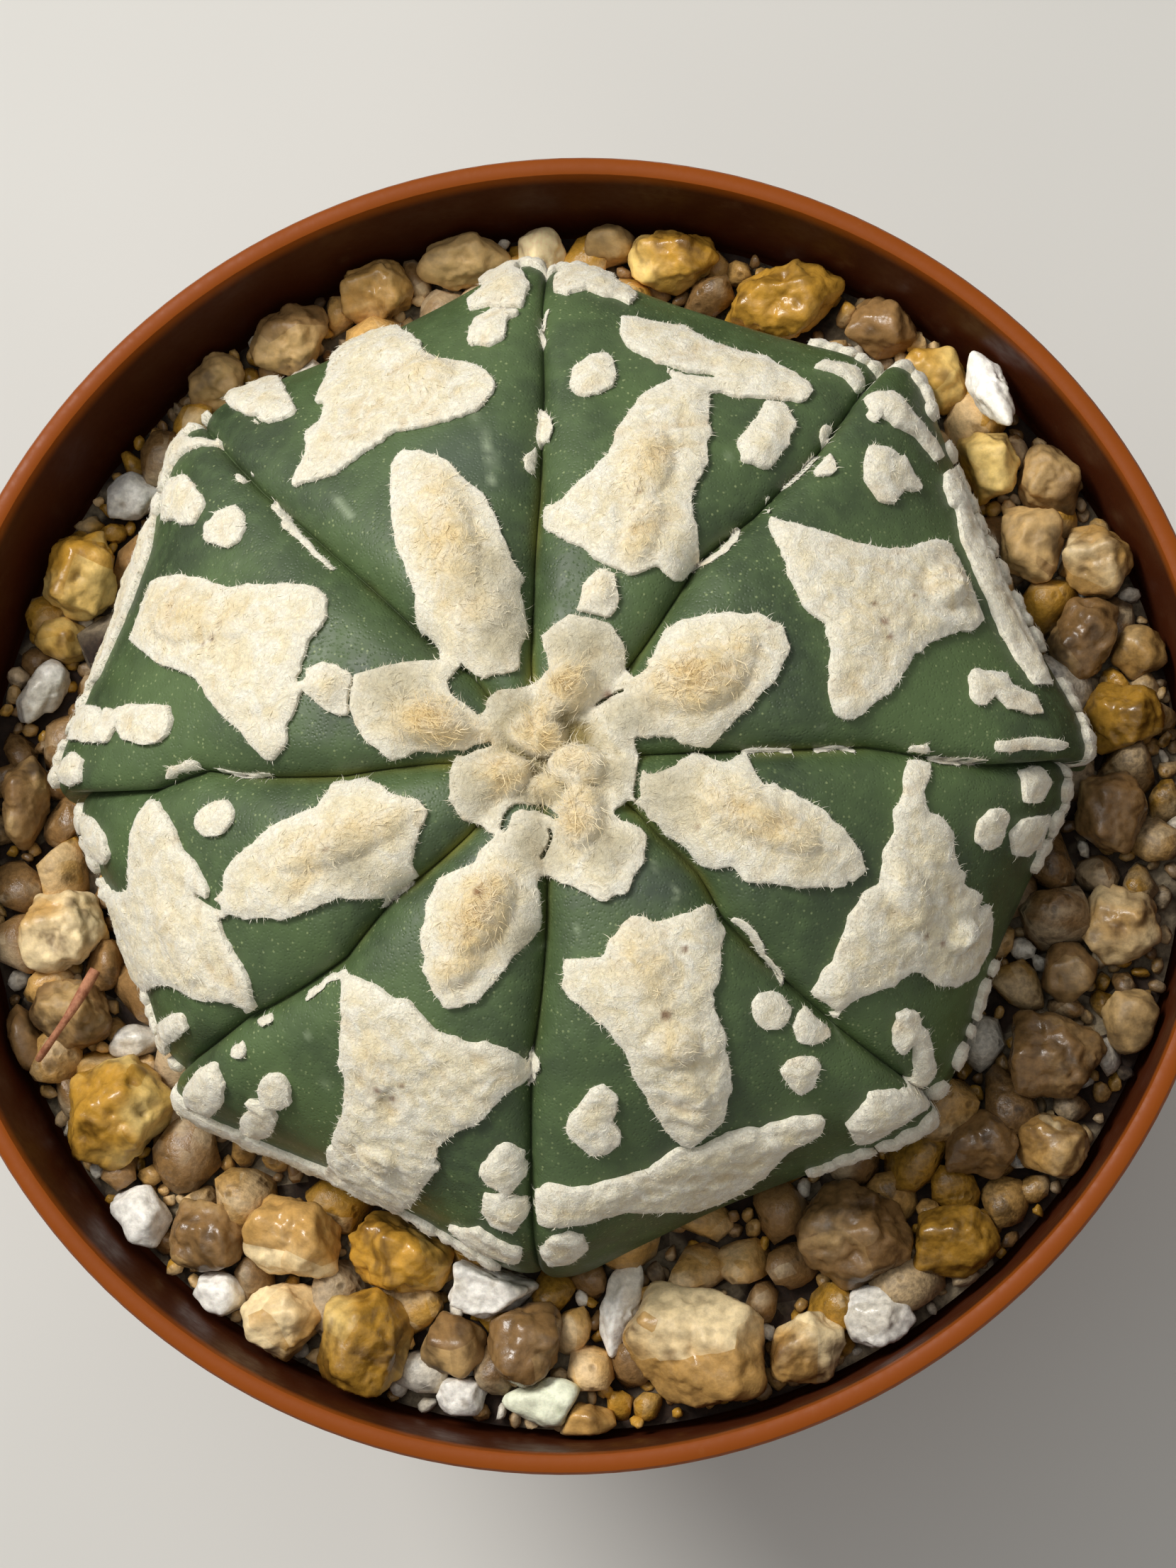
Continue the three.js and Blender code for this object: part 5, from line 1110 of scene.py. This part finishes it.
def skin_material(s):
    made, m, shader = material(
        "Green skin", Subsurface_Weight=0.05, Subsurface_Radius=(0.0006, 0.001, 0.0003))
    place = m.place()
    broad, middle = m.noise(place, 130, 3), m.noise(place, 900, 4, 0.6)
    base = m.blend(m.ramp(broad, 0.3, 0.7), s.shade, s.green)
    base = m.blend(m.ramp(middle, 0.4, 0.75, 0.0, 0.35), base, scaled(s.green, 1.35))
    dot, picked = m.cells(place, 3600.0)
    dots = m.times(m.ramp(dot, 0.3, 0.16), m.ramp(m.red(picked), 0.62, 0.68))
    patchy = m.ramp(m.noise(place, 260, 3), 0.35, 0.65, 0.15, 0.75)
    base = m.blend(m.times(dots, patchy), base, s.fleck)
    base = m.blend(m.attribute("groove"), base, s.groove)
    base = m.blend(m.times(m.attribute("bruise"), 0.55), base, srgb("4E5850"))
    base = m.blend(m.times(m.attribute("scar"), 0.5), base, s.scar)
    corky = m.blend(m.ramp(m.noise(place, 700, 4), 0.35, 0.7), s.cork, srgb("9A7B55"))
    base = m.blend(m.attribute("cork"), base, corky)
    m.put(shader.inputs["Base Color"], base)
    m.put(shader.inputs["Roughness"], m.ramp(middle, 0.3, 0.7, 0.44, 0.6))
    pores, _ = m.cells(place, 5200.0)
    height = m.plus(m.times(middle, 1.2), m.ramp(pores, 0.0, 0.5))
    m.put(shader.inputs["Normal"], m.bump(height, 0.03 * MM, 0.7))
    return made


def wool_material(s, name, fuzzy):
    """Wool that takes its tints and its painted shade from the felt's masks. Fuzzy wool is brighter and
    has no bumps.
    """
    made, m, shader = material(
        name, Roughness=0.95, Sheen_Weight=0.25, Sheen_Roughness=0.5, Subsurface_Weight=0.12,
        Subsurface_Radius=(0.0009, 0.0007, 0.0005), Specular_IOR_Level=0.15)
    place = m.place()
    cloud, fibre = m.noise(place, 750, 4, 0.65, 0.8), m.noise(place, 3800, 4, 0.7, 1.6)
    base = m.blend(m.ramp(cloud, 0.35, 0.7), s.cream, s.pale)
    base = m.blend(m.times(m.attribute("edge"), 0.8), base, s.pale)
    tan = m.times(m.attribute("tan"), m.ramp(cloud, 0.75, 0.3, 0.55, 1.1))
    base = m.blend(tan, base, s.tan)
    base = m.blend(m.attribute("grey"), base, s.grey)
    base = m.blend(m.attribute("stain"), base, s.stain)
    # Painted shade: the felt is darkened in the hollows of its relief
    hollow_shade_colour = m.blend(1.0, base, srgb("D2B88C"), "MULTIPLY")
    base = m.blend(m.times(m.attribute("hollow_shade"), 0.6), base, hollow_shade_colour)
    # Painted shade in the creases between the crown's tufts
    base = m.blend(m.times(m.attribute("crease_shade"), 0.9), base, s.crease_shade)
    value = m.ramp(fibre, 0.3, 0.7, 0.86 if fuzzy else 0.8, 1.04)
    dim = m.add("ShaderNodeHueSaturation", {"Color": base, "Value": value})
    m.put(shader.inputs["Base Color"], dim.outputs[0])
    if not fuzzy:
        height = m.plus(m.times(cloud, 1.4), fibre)
        m.put(shader.inputs["Normal"], m.bump(height, 0.12 * MM, 0.8))
    return made


class Felt:
    """Thickness and colour of the wool all over the flat map."""

    def __init__(self, spacing, thickness):
        self.step = spacing
        self.axis = np.arange(-MAP, MAP + spacing, spacing)
        x, y = np.meshgrid(self.axis, self.axis, indexing="ij")
        self.shape = x.shape
        x, y = x.ravel(), y.ravel()
        drift_x = 0.08 * rough(flat(x, y, 0.9), 2, 1) + 0.07 * noise(flat(x, y, 0.33), 2)
        drift_y = 0.08 * rough(flat(x, y, 0.9, 9.3), 2, 4) + 0.07 * noise(flat(x, y, 0.33, 5.1), 5)
        wx, wy = (x + drift_x).reshape(self.shape), (y + drift_y).reshape(self.shape)
        self.far = np.full(self.shape, 3.0)
        self.thin = np.full(self.shape, 1.0)
        for points in WOOL:
            line = np.reshape(points, (-1, 2))
            across, up = line.max(0) - line.min(0)
            self.lay(wx, wy, line, 0.75 + 0.25 * min(max(across, up) / 6, 1), True)
        for points in BARE:
            self.cut(wx, wy, np.reshape(points, (-1, 2)), True)
        for points, half in GAPS:
            self.cut(wx, wy, outline(points, False, 3), False, half)
        self.far = self.far + SHRINK
        for points, half in GROOVE_FLECKS:
            self.lay(wx, wy, outline(points, False, 4), 0.35, False, half)
        for cx, cy, radius in BORDER:
            self.lay(wx, wy, np.array([[cx - 0.1, cy], [cx + 0.1, cy]]), 1.1, False, radius)
        x, y = x.reshape(self.shape), y.reshape(self.shape)
        self.height, hollow_shade, crease_shade = self.raised(x, y, -self.far, thickness)
        self.masks = {**self.colours(x, y), "hollow_shade": hollow_shade, "crease_shade": crease_shade}

    def part(self, x, y, line, closed, half):
        """The grid round a line and its distance from it there."""
        i0, j0 = np.searchsorted(self.axis, line.min(0) - AROUND)
        i1, j1 = np.searchsorted(self.axis, line.max(0) + AROUND)
        part = np.s_[i0:i1, j0:j1]
        return part, distance_to(x[part], y[part], line, closed) - half

    def lay(self, x, y, line, thin, closed, half=0.0):
        """Adds wool inside a closed line, or as far as half from an open one."""
        part, far = self.part(x, y, line, closed, half)
        nearer = far < self.far[part]
        self.far[part] = np.where(nearer, far, self.far[part])
        self.thin[part] = np.where(nearer, thin, self.thin[part])

    def cut(self, x, y, line, closed, half=0.0):
        """Takes wool away inside a closed line, or as far as half from an open one."""
        part, far = self.part(x, y, line, closed, half)
        self.far[part] = np.maximum(self.far[part], -far)

    def raised(self, x, y, deep, thickness):
        """Height of the wool above the skin, and masks of the painted shade in its hollows and in the
        crown's creases.
        """
        s, a = np.hypot(x, y), np.arctan2(y, x)
        folds = np.stack([s.ravel() / 3.2, (a * s).ravel() / 0.95, np.zeros(x.size)], -1)
        folds = rough(folds, 3, 2).reshape(x.shape)
        lumps = rough(flat(x.ravel(), y.ravel(), 1.7, 3.1), 3, 3).reshape(x.shape)
        matted = rough(flat(x.ravel(), y.ravel(), 0.55, 6.4), 3, 5).reshape(x.shape)
        outer = np.clip((s - 11) / 5, 0, 1)
        rise = 0.45 * (1 - np.exp(-np.maximum(deep, 0) / 0.5)) + 0.55
        height = thickness * self.thin * rise
        height = height + np.clip(deep / 0.8, 0, 1) * (0.2 * lumps + 0.15 * outer * folds) * self.thin
        height = height + np.clip(deep / 0.3, 0.2, 1) * 0.13 * matted
        swelling = np.zeros(x.shape)
        for cx, cy, long, wide, turn, tall, _, _ in TUFTS:
            near = oval_reach(x, y, cx, cy, long * 1.12, wide * 1.12, turn) + 0.12 * matted
            bump = tall * np.clip(1 - near ** 2, 0, 1) ** 0.6 * np.clip(deep / 0.6, 0, 1)
            swelling = np.where(np.abs(bump) > np.abs(swelling), bump, swelling)
        height = height + swelling * (1 + 0.3 * matted + 0.2 * lumps)
        middle = np.clip((3.2 - np.hypot(x - 0.6, y - 0.3)) / 1.2, 0, 1)
        # Creases between the crown's tufts: the wool is lowered there, and the same mask paints shade
        creases = np.clip(0.85 - 1.8 * swelling, 0, 1) * middle
        height = height - 0.5 * creases * np.clip((5.2 - s) / 1.5, 0, 1)
        # Mask of painted shade where the felt's relief lies low
        hollow_shade = np.clip(-0.8 * matted - 0.4 * lumps - 0.8 * outer * folds - 0.15, 0, 1)
        return np.maximum(height, 0.06), hollow_shade, creases

    def colours(self, x, y):
        """Where the wool is tan, grey, stained or near its edge."""
        tan, stain = np.zeros(self.shape), np.zeros(self.shape)
        grain = rough(flat(x.ravel(), y.ravel(), 0.9, 2.2), 3, 6).reshape(self.shape)
        for cx, cy, long, wide, turn, _, share, _ in TUFTS:
            near = oval_reach(x, y, cx, cy, long * 1.15, wide * 1.15, turn) + 0.35 * grain
            tan = np.maximum(tan, share * np.clip(1.35 - near, 0, 1))
        for cx, cy, radius in STAINS:
            near = np.hypot(x - cx, y - cy) / (0.7 * radius) + 1.2 * grain
            stain = np.maximum(stain, np.clip(1.3 - near, 0, 1))
        grey = np.zeros(self.shape)
        for cx, cy, radius in GREYS:
            near = np.hypot(x - cx, y - cy) / radius + 0.35 * grain
            grey = np.maximum(grey, np.clip(1.5 - near, 0, 1))
        grey = grey * (1 - tan)
        edge = np.clip(1 - np.maximum(-self.far, 0) / 0.9, 0, 1)
        return {"tan": tan, "grey": 0.8 * grey, "stain": 0.75 * stain, "edge": edge}

    def at(self, field, x, y):
        """Value of a field at points of the flat map."""
        u = np.clip((x - self.axis[0]) / self.step, 0, len(self.axis) - 1.001)
        v = np.clip((y - self.axis[0]) / self.step, 0, len(self.axis) - 1.001)
        i, j = u.astype(int), v.astype(int)
        p, q = u - i, v - j
        return ((1 - p) * (1 - q) * field[i, j] + p * (1 - q) * field[i + 1, j]
                + (1 - p) * q * field[i, j + 1] + p * q * field[i + 1, j + 1])


# Polygons of a grid cell that the wool's outline crosses, by which corners lie inside: 0 to 3 are
# corners and 4 to 7 the crossings of the edges after them
CELLS = {
    1: [[0, 4, 7]], 2: [[1, 5, 4]], 3: [[0, 1, 5, 7]], 4: [[2, 6, 5]], 5: [[0, 4, 7], [2, 6, 5]],
    6: [[1, 2, 6, 4]], 7: [[0, 1, 2, 6, 7]], 8: [[3, 7, 6]], 9: [[0, 4, 6, 3]],
    10: [[1, 5, 4], [3, 7, 6]], 11: [[0, 1, 5, 6, 3]], 12: [[2, 3, 7, 5]], 13: [[0, 4, 5, 2, 3]],
    14: [[1, 2, 3, 7, 4]], 15: [[0, 1, 2, 3]],
}


def felt_mesh(felt):
    """Points on the flat map, faces and rim edges of the felt."""
    far = felt.far
    n, m = far.shape
    inside = far < 0
    case = (inside[:-1, :-1] * 1 + inside[1:, :-1] * 2 + inside[1:, 1:] * 4 + inside[:-1, 1:] * 8)
    node = np.arange(n * m).reshape(n, m)
    across, up = n * m + node, 2 * n * m + node
    faces, rims = [], []
    for value, polygons in CELLS.items():
        i, j = np.nonzero(case == value)
        if not len(i):
            continue
        tokens = np.stack([
            node[i, j], node[i + 1, j], node[i + 1, j + 1], node[i, j + 1],
            across[i, j], up[i + 1, j], across[i, j + 1], up[i, j]], -1)
        for polygon in polygons:
            faces.extend(tokens[:, polygon].tolist())
            for a, b in zip(polygon, polygon[1:] + polygon[:1]):
                if a > 3 and b > 3:
                    rims.extend(tokens[:, [a, b]].tolist())
    used = np.unique(np.concatenate([np.ravel(f) for f in faces]))
    kind, base = used // (n * m), used % (n * m)
    i, j = base // m, base % m
    moves = []
    for k, p, q in ((1, np.minimum(i + 1, n - 1), j), (2, i, np.minimum(j + 1, m - 1))):
        here, there = far[i, j], far[p, q]
        share = np.where(here != there, here / np.where(here == there, 1, here - there), 0.5)
        moves.append(np.where(kind == k, np.clip(share, 0.03, 0.97) * felt.step, 0))
    x, y = felt.axis[i] + moves[0], felt.axis[j] + moves[1]
    lookup = {int(v): k for k, v in enumerate(used)}
    return x, y, [[lookup[v] for v in f] for f in faces], [[lookup[v] for v in r] for r in rims]


def crown_fill(x, y):
    """How far the wool fills the grooves: wholly at the crown, and less and less away from it."""
    return np.clip((8.5 - np.hypot(x, y)) / 4, 0, 1)


def add_wool(felt, name, look):
    """All the wool, with a rim that goes down into the skin."""
    x, y, faces, rims = felt_mesh(felt)
    top = skin(x, y, felt.at(felt.height, x, y), crown_fill(x, y))
    limit = cad_box[1].z / MM - 0.1
    over = limit + 0.7 * np.tanh((top[:, 2] - limit) / 0.7)
    top[:, 2] = np.where(top[:, 2] > limit, over, top[:, 2])
    rim = np.unique(np.ravel(rims))
    below = {int(v): len(x) + k for k, v in enumerate(rim)}
    foot = skin(x[rim], y[rim], -0.12)
    faces = faces + [[b, a, below[a], below[b]] for a, b in rims]
    made = add_mesh(name, np.concatenate([top, foot]), faces)
    for key, field in felt.masks.items():
        values = felt.at(field, x, y)
        add_attribute(made, key, np.concatenate([values, values[rim]]))
    return finish_piece(made, look)


def add_hairs(name, felt, look, draw, hairs):
    """Hairs as fine ribbons of three triangles, rooted at points of the flat map."""
    x, y, lift, angle, long, rise, curl, wide = hairs
    dx, dy = np.cos(angle), np.sin(angle)
    mid_x, mid_y = x + 0.5 * long * dx - curl * dy, y + 0.5 * long * dy + curl * dx
    tip_x, tip_y = x + long * dx, y + long * dy
    root, middle, tip = (
        skin(px, py, up, crown_fill(px, py)) for px, py, up in (
            (x, y, lift - 0.06), (mid_x, mid_y, lift + 0.7 * rise), (tip_x, tip_y, lift + rise)))
    side = np.cross(middle - root, skin(x, y, lift + 1) - skin(x, y, lift))
    side = side / np.maximum(np.linalg.norm(side, axis=1), 1e-9)[:, None] * (wide / 2)[:, None]
    side = side + 0.4 * wide[:, None] * draw.uniform(-1, 1, side.shape)
    points = np.concatenate([root - side, root + side, middle - 0.8 * side, middle + 0.8 * side, tip])
    n = len(x)
    i = np.arange(n)
    faces = np.concatenate([
        np.stack([i + n * k for k in corners], -1) for corners in ((0, 1, 3), (0, 3, 2), (2, 3, 4))])
    points[:, 2] = np.minimum(points[:, 2], cad_box[1].z / MM + 0.9)
    made = add_mesh(name, points, faces)
    for key, field in felt.masks.items():
        add_attribute(made, key, np.tile(felt.at(field, x, y), 5))
    return finish_piece(made, look)


def scatter(draw, crowd):
    """Random points of the flat map, from how many would lie on each square millimetre."""
    count = int((2 * MAP) ** 2 * crowd)
    return draw.uniform(-HAIR_MAP, HAIR_MAP, count), draw.uniform(-HAIR_MAP, HAIR_MAP, count)


def pad_hairs(felt, draw, crowd):
    """Hairs on top of the wool, longer and more upright on the tufts."""
    x, y = scatter(draw, crowd)
    keep = felt.at(felt.far, x, y) < -0.08
    x, y = x[keep], y[keep]
    tufted = np.zeros(len(x))
    for cx, cy, across, wide, turn, _, _, fluffy in TUFTS:
        reach = oval_reach(x, y, cx, cy, across, wide, turn)
        tufted = np.maximum(tufted, fluffy * np.exp(-reach ** 2))
    keep = draw.rand(len(x)) < 0.35 + tufted
    x, y, tufted = x[keep], y[keep], tufted[keep]
    angle = draw.uniform(0, 2 * math.pi, len(x)) * 0.6 + 3 * noise(flat(x, y, 1.4), 7)
    long = (0.25 + 0.4 * draw.rand(len(x))) * (1 + 1.3 * tufted)
    rise = (-0.02 + 0.08 * draw.rand(len(x))) * (1 + 6 * tufted)
    curl = draw.uniform(-0.1, 0.1, len(x)) * (1 + 2.5 * tufted)
    wide = draw.uniform(0.016, 0.034, len(x))
    return np.array([x, y, felt.at(felt.height, x, y), angle, long, rise, curl, wide])


def edge_hairs(felt, draw):
    """Short hairs that stand out over the wool's edge."""
    x, y = scatter(draw, EDGE_HAIRS)
    far = felt.at(felt.far, x, y)
    keep = (far < 0.02) & (far > -0.14)
    x, y = x[keep], y[keep]
    slope_x = felt.at(felt.far, x + 0.12, y) - felt.at(felt.far, x - 0.12, y)
    slope_y = felt.at(felt.far, x, y + 0.12) - felt.at(felt.far, x, y - 0.12)
    angle = np.arctan2(slope_y, slope_x) + draw.normal(0, 0.8, len(x))
    long = 0.1 + 0.22 * draw.rand(len(x)) ** 2
    lift = felt.at(felt.height, x, y) * draw.uniform(0.3, 1.0, len(x))
    rise = draw.uniform(-0.12, 0.1, len(x))
    curl = draw.uniform(-0.06, 0.06, len(x))
    return np.array([x, y, lift, angle, long, rise, curl, draw.uniform(0.014, 0.026, len(x))])


class CACTUS_OT_body(bpy.types.Operator):
    """Grows the ribbed body of the plant down to the tip of its taproot"""
    bl_idname = "cactus.body"
    bl_label = "Body"

    def execute(self, context):
        s = context.scene.cactus_plant
        rows = np.concatenate([
            np.arange(0.2, 6, 0.3), np.arange(6, 40, 0.22), np.linspace(40, ARC[-1] - 1.2, 26)])
        places = np.sin(np.linspace(-0.5, 0.5, s.columns, endpoint=False) * math.pi)
        xs, ys = [], []
        for row in rows:
            lows = np.array([along(groove, row) for groove in GROOVES])
            widths = np.mod(np.roll(lows, -1) - lows, 360)
            azimuth = np.radians(lows[:, None] + (places + 1) / 2 * widths[:, None]).ravel()
            xs.append(row * np.cos(azimuth))
            ys.append(row * np.sin(azimuth))
        x, y = np.array(xs), np.array(ys)
        n, m = x.shape
        x, y = x.ravel(), y.ravel()
        far = np.hypot(x, y)
        lift = 0.05 * noise(flat(x, y, 3.4), 1) + 0.02 * rough(flat(x, y, 0.9), 2, 2)
        lift = lift + np.clip((far - 42) / 8, 0, 1) * 0.5 * rough(flat(x, y, 2.6), 3, 3)
        points = skin(x, y, lift)
        crown, tip = skin(np.zeros(1), np.zeros(1), 0), [[*AXIS, WIDEST + CREST[-1][1]]]
        points = np.concatenate([points, crown, tip])
        index = np.arange(n * m).reshape(n, m)
        nxt = np.roll(index, -1, 1)
        faces = np.stack([index[:-1], index[1:], nxt[1:], nxt[:-1]], -1).reshape(-1, 4).tolist()
        faces += [[n * m, a, b] for a, b in zip(index[0], nxt[0])]
        faces += [[n * m + 1, b, a] for a, b in zip(index[-1], nxt[-1])]
        made = add_mesh("cactus_body", points, faces)
        place, half = place_in_rib(x, y)
        radius = np.interp(far, ARC, LINE[:, 0])
        gap = (1 - np.abs(place)) * half * radius
        near = np.exp(-(gap / 0.28) ** 2) * along(GROOVE_SHADE, far)
        near = near * np.clip(0.5 + 0.8 * noise(flat(x, y, 2.0), 4), 0.1, 1)
        scar = np.zeros(len(x))
        for line, wide in SCARS:
            away = distance_to(x, y, outline(line, False, 4), False)
            away = away + 0.05 * noise(flat(x, y, 0.4), 6)
            scar = np.maximum(scar, np.exp(-(np.maximum(away, 0) / (wide + 0.06)) ** 2))
        bruise = np.zeros(len(x))
        for cx, cy, across, up, share in BRUISES:
            bruise = bruise + share * np.exp(-((x - cx) / across) ** 2 - ((y - cy) / up) ** 2)
        scar = scar * np.clip(0.55 + 1.6 * rough(flat(x, y, 0.7, 4.4), 2, 5), 0, 1)
        cork = np.clip((far - 36) / 5, 0, 1)
        for key, values, at_tip in (
                ("groove", near, 0), ("scar", 0.8 * scar, 0), ("bruise", bruise, 0), ("cork", cork, 1)):
            add_attribute(made, key, np.concatenate([values, [0, at_tip]]))
        finish_piece(made, skin_material(s), ["cactus"])
        return {"FINISHED"}


class CACTUS_OT_wool(bpy.types.Operator):
    """Lays the wool pads and flecks on the skin, with their tufts and hairs"""
    bl_idname = "cactus.wool"
    bl_label = "Wool"

    def execute(self, context):
        s = context.scene.cactus_wool
        felt = Felt(s.spacing / MM, s.thickness / MM)
        look = wool_material(s, "Wool felt", False)
        fuzz = wool_material(s, "Wool hair", True)
        add_wool(felt, "wool_felt", look)
        if not s.hairs:
            return {"FINISHED"}
        draw = np.random.RandomState(11)
        hairs = pad_hairs(felt, draw, s.hairs)
        inner = np.hypot(hairs[0], hairs[1]) < 11
        add_hairs("wool_hairs_inner", felt, fuzz, draw, hairs[:, inner])
        add_hairs("wool_hairs_outer", felt, fuzz, draw, hairs[:, ~inner])
        add_hairs("wool_hairs_edge", felt, fuzz, draw, edge_hairs(felt, draw))
        return {"FINISHED"}


class CACTUS_OT_dry_root(bpy.types.Operator):
    """Draws the thin dry root that lies on the stones"""
    bl_idname = "cactus.dry_root"
    bl_label = "Dry root"

    def execute(self, context):
        path = outline(ROOT, False, 10)
        line = bpy.data.curves.new("dry_root_strand", "CURVE")
        line.dimensions, line.use_fill_caps = "3D", True
        line.bevel_depth, line.bevel_resolution = 0.33 * MM, 3
        spline = line.splines.new("POLY")
        spline.points.add(len(path) - 1)
        for i, point in enumerate(path):
            share = i / (len(path) - 1)
            spline.points[i].co = (*(point * MM), 1)
            spline.points[i].radius = 0.95 - 0.45 * share + 0.1 * math.sin(9 * share)
        made = bpy.data.objects.new("dry_root_strand", line)
        context.collection.objects.link(made)
        only(made)
        bpy.ops.object.convert(target="MESH")
        made = context.object
        bpy.ops.object.shade_smooth()
        look, m, shader = material("Dry root", Roughness=0.7)
        place = m.place()
        fibre = m.noise(place, 1600, 5, 0.7)
        base = m.blend(m.ramp(fibre, 0.3, 0.7), srgb("8E5236"), srgb("C08560"))
        m.put(shader.inputs["Base Color"], base)
        m.put(shader.inputs["Normal"], m.bump(fibre, 0.1 * MM))
        finish_piece(made, look, ["dry_root"])
        return {"FINISHED"}


# ---- Stage ----

class CACTUS_OT_stage(bpy.types.Operator):
    """Sets the pale floor, the soft light and the camera"""
    bl_idname = "cactus.stage"
    bl_label = "Stage"

    def execute(self, context):
        s = context.scene.cactus_stage
        deselect()
        bpy.ops.mesh.primitive_plane_add(size=6, location=(0, 0, 0))
        floor = context.object
        floor.name = "floor"
        look, m, shader = material("Pale floor", Roughness=0.6)
        cloud = m.noise(m.place(), 14, 2)
        base = m.blend(m.ramp(cloud, 0.3, 0.7), s.floor, scaled(s.floor, 0.94))
        m.put(shader.inputs["Base Color"], base)
        floor.data.materials.append(look)
        tilt_x, tilt_y = (math.tan(math.radians(lean)) for lean in CAMERA_LEAN)
        back = Vector((tilt_x, tilt_y, 1)).normalized()
        right = Vector((back.z, 0, -back.x)).normalized()
        up = back.cross(right)
        lens = bpy.data.cameras.new("camera")
        lens.lens, lens.sensor_width, lens.sensor_fit = s.focal, 36, "AUTO"
        lens.clip_start, lens.clip_end = 0.01, 20
        camera = bpy.data.objects.new("camera", lens)
        context.collection.objects.link(camera)
        turn = Matrix((right, up, back)).transposed().to_4x4()
        place = Vector(CAMERA_AIM) * MM + back * CAMERA_DISTANCE
        camera.matrix_world = Matrix.Translation(place) @ turn
        context.scene.camera = camera
        for name, place, size, share, tint in LIGHTS:
            lamp = bpy.data.lights.new(name, "AREA")
            lamp.shape, lamp.size, lamp.energy, lamp.color = "DISK", size, share * s.key, tint
            made = bpy.data.objects.new(name, lamp)
            context.collection.objects.link(made)
            made.location = place
            made.rotation_mode = "QUATERNION"
            made.rotation_quaternion = (Vector(place) - Vector((0, 0, 0.05))).to_track_quat("Z", "Y")
        world = bpy.data.worlds.new("Soft light")
        world.use_nodes = True
        glow = world.node_tree.nodes["Background"].inputs
        glow["Color"].default_value = (1.0, 0.995, 0.98, 1)
        glow["Strength"].default_value = s.fill
        context.scene.world = world
        context.scene.view_settings.view_transform = "Standard"
        return {"FINISHED"}


class CACTUS_PT_panel(bpy.types.Panel):
    """Settings and builders of the potted cactus"""
    bl_label = "Potted cactus"
    bl_idname = "CACTUS_PT_panel"
    bl_space_type = "VIEW_3D"
    bl_region_type = "UI"
    bl_category = "Cactus"

    def draw(self, context):
        for title, settings, operators in GROUPS:
            box = self.layout.box()
            box.label(text=title)
            held = getattr(context.scene, settings)
            for name in held.__annotations__:
                box.prop(held, name)
            for operator in operators:
                box.operator(operator)


GROUPS = (
    ("Pot", "cactus_pot", ("cactus.pot", "cactus.potting_mix")),
    ("Stones and grit", "cactus_grit", ("cactus.stones", "cactus.grit")),
    ("Plant", "cactus_plant", ("cactus.body", "cactus.dry_root")),
    ("Wool", "cactus_wool", ("cactus.wool",)),
    ("Stage", "cactus_stage", ("cactus.stage",)),
)
SETTINGS = {
    "cactus_pot": PotSettings, "cactus_grit": GritSettings, "cactus_plant": PlantSettings,
    "cactus_wool": WoolSettings, "cactus_stage": StageSettings,
}
OPERATORS = (
    CACTUS_OT_pot, CACTUS_OT_potting_mix, CACTUS_OT_stones, CACTUS_OT_grit, CACTUS_OT_body,
    CACTUS_OT_wool, CACTUS_OT_dry_root, CACTUS_OT_stage,
)


def register():
    for kind in (*SETTINGS.values(), *OPERATORS, CACTUS_PT_panel):
        bpy.utils.register_class(kind)
    for name, kind in SETTINGS.items():
        setattr(bpy.types.Scene, name, bpy.props.PointerProperty(type=kind))


def unregister():
    for name in SETTINGS:
        delattr(bpy.types.Scene, name)
    for kind in reversed((*SETTINGS.values(), *OPERATORS, CACTUS_PT_panel)):
        bpy.utils.unregister_class(kind)


def main():
    register()
    bpy.ops.cactus.stage()
    bpy.ops.cactus.pot()
    bpy.ops.cactus.potting_mix()
    bpy.ops.cactus.stones()
    bpy.ops.cactus.grit()
    bpy.ops.cactus.body()
    bpy.ops.cactus.wool()
    bpy.ops.cactus.dry_root()


if __name__ == "__main__":
    main()
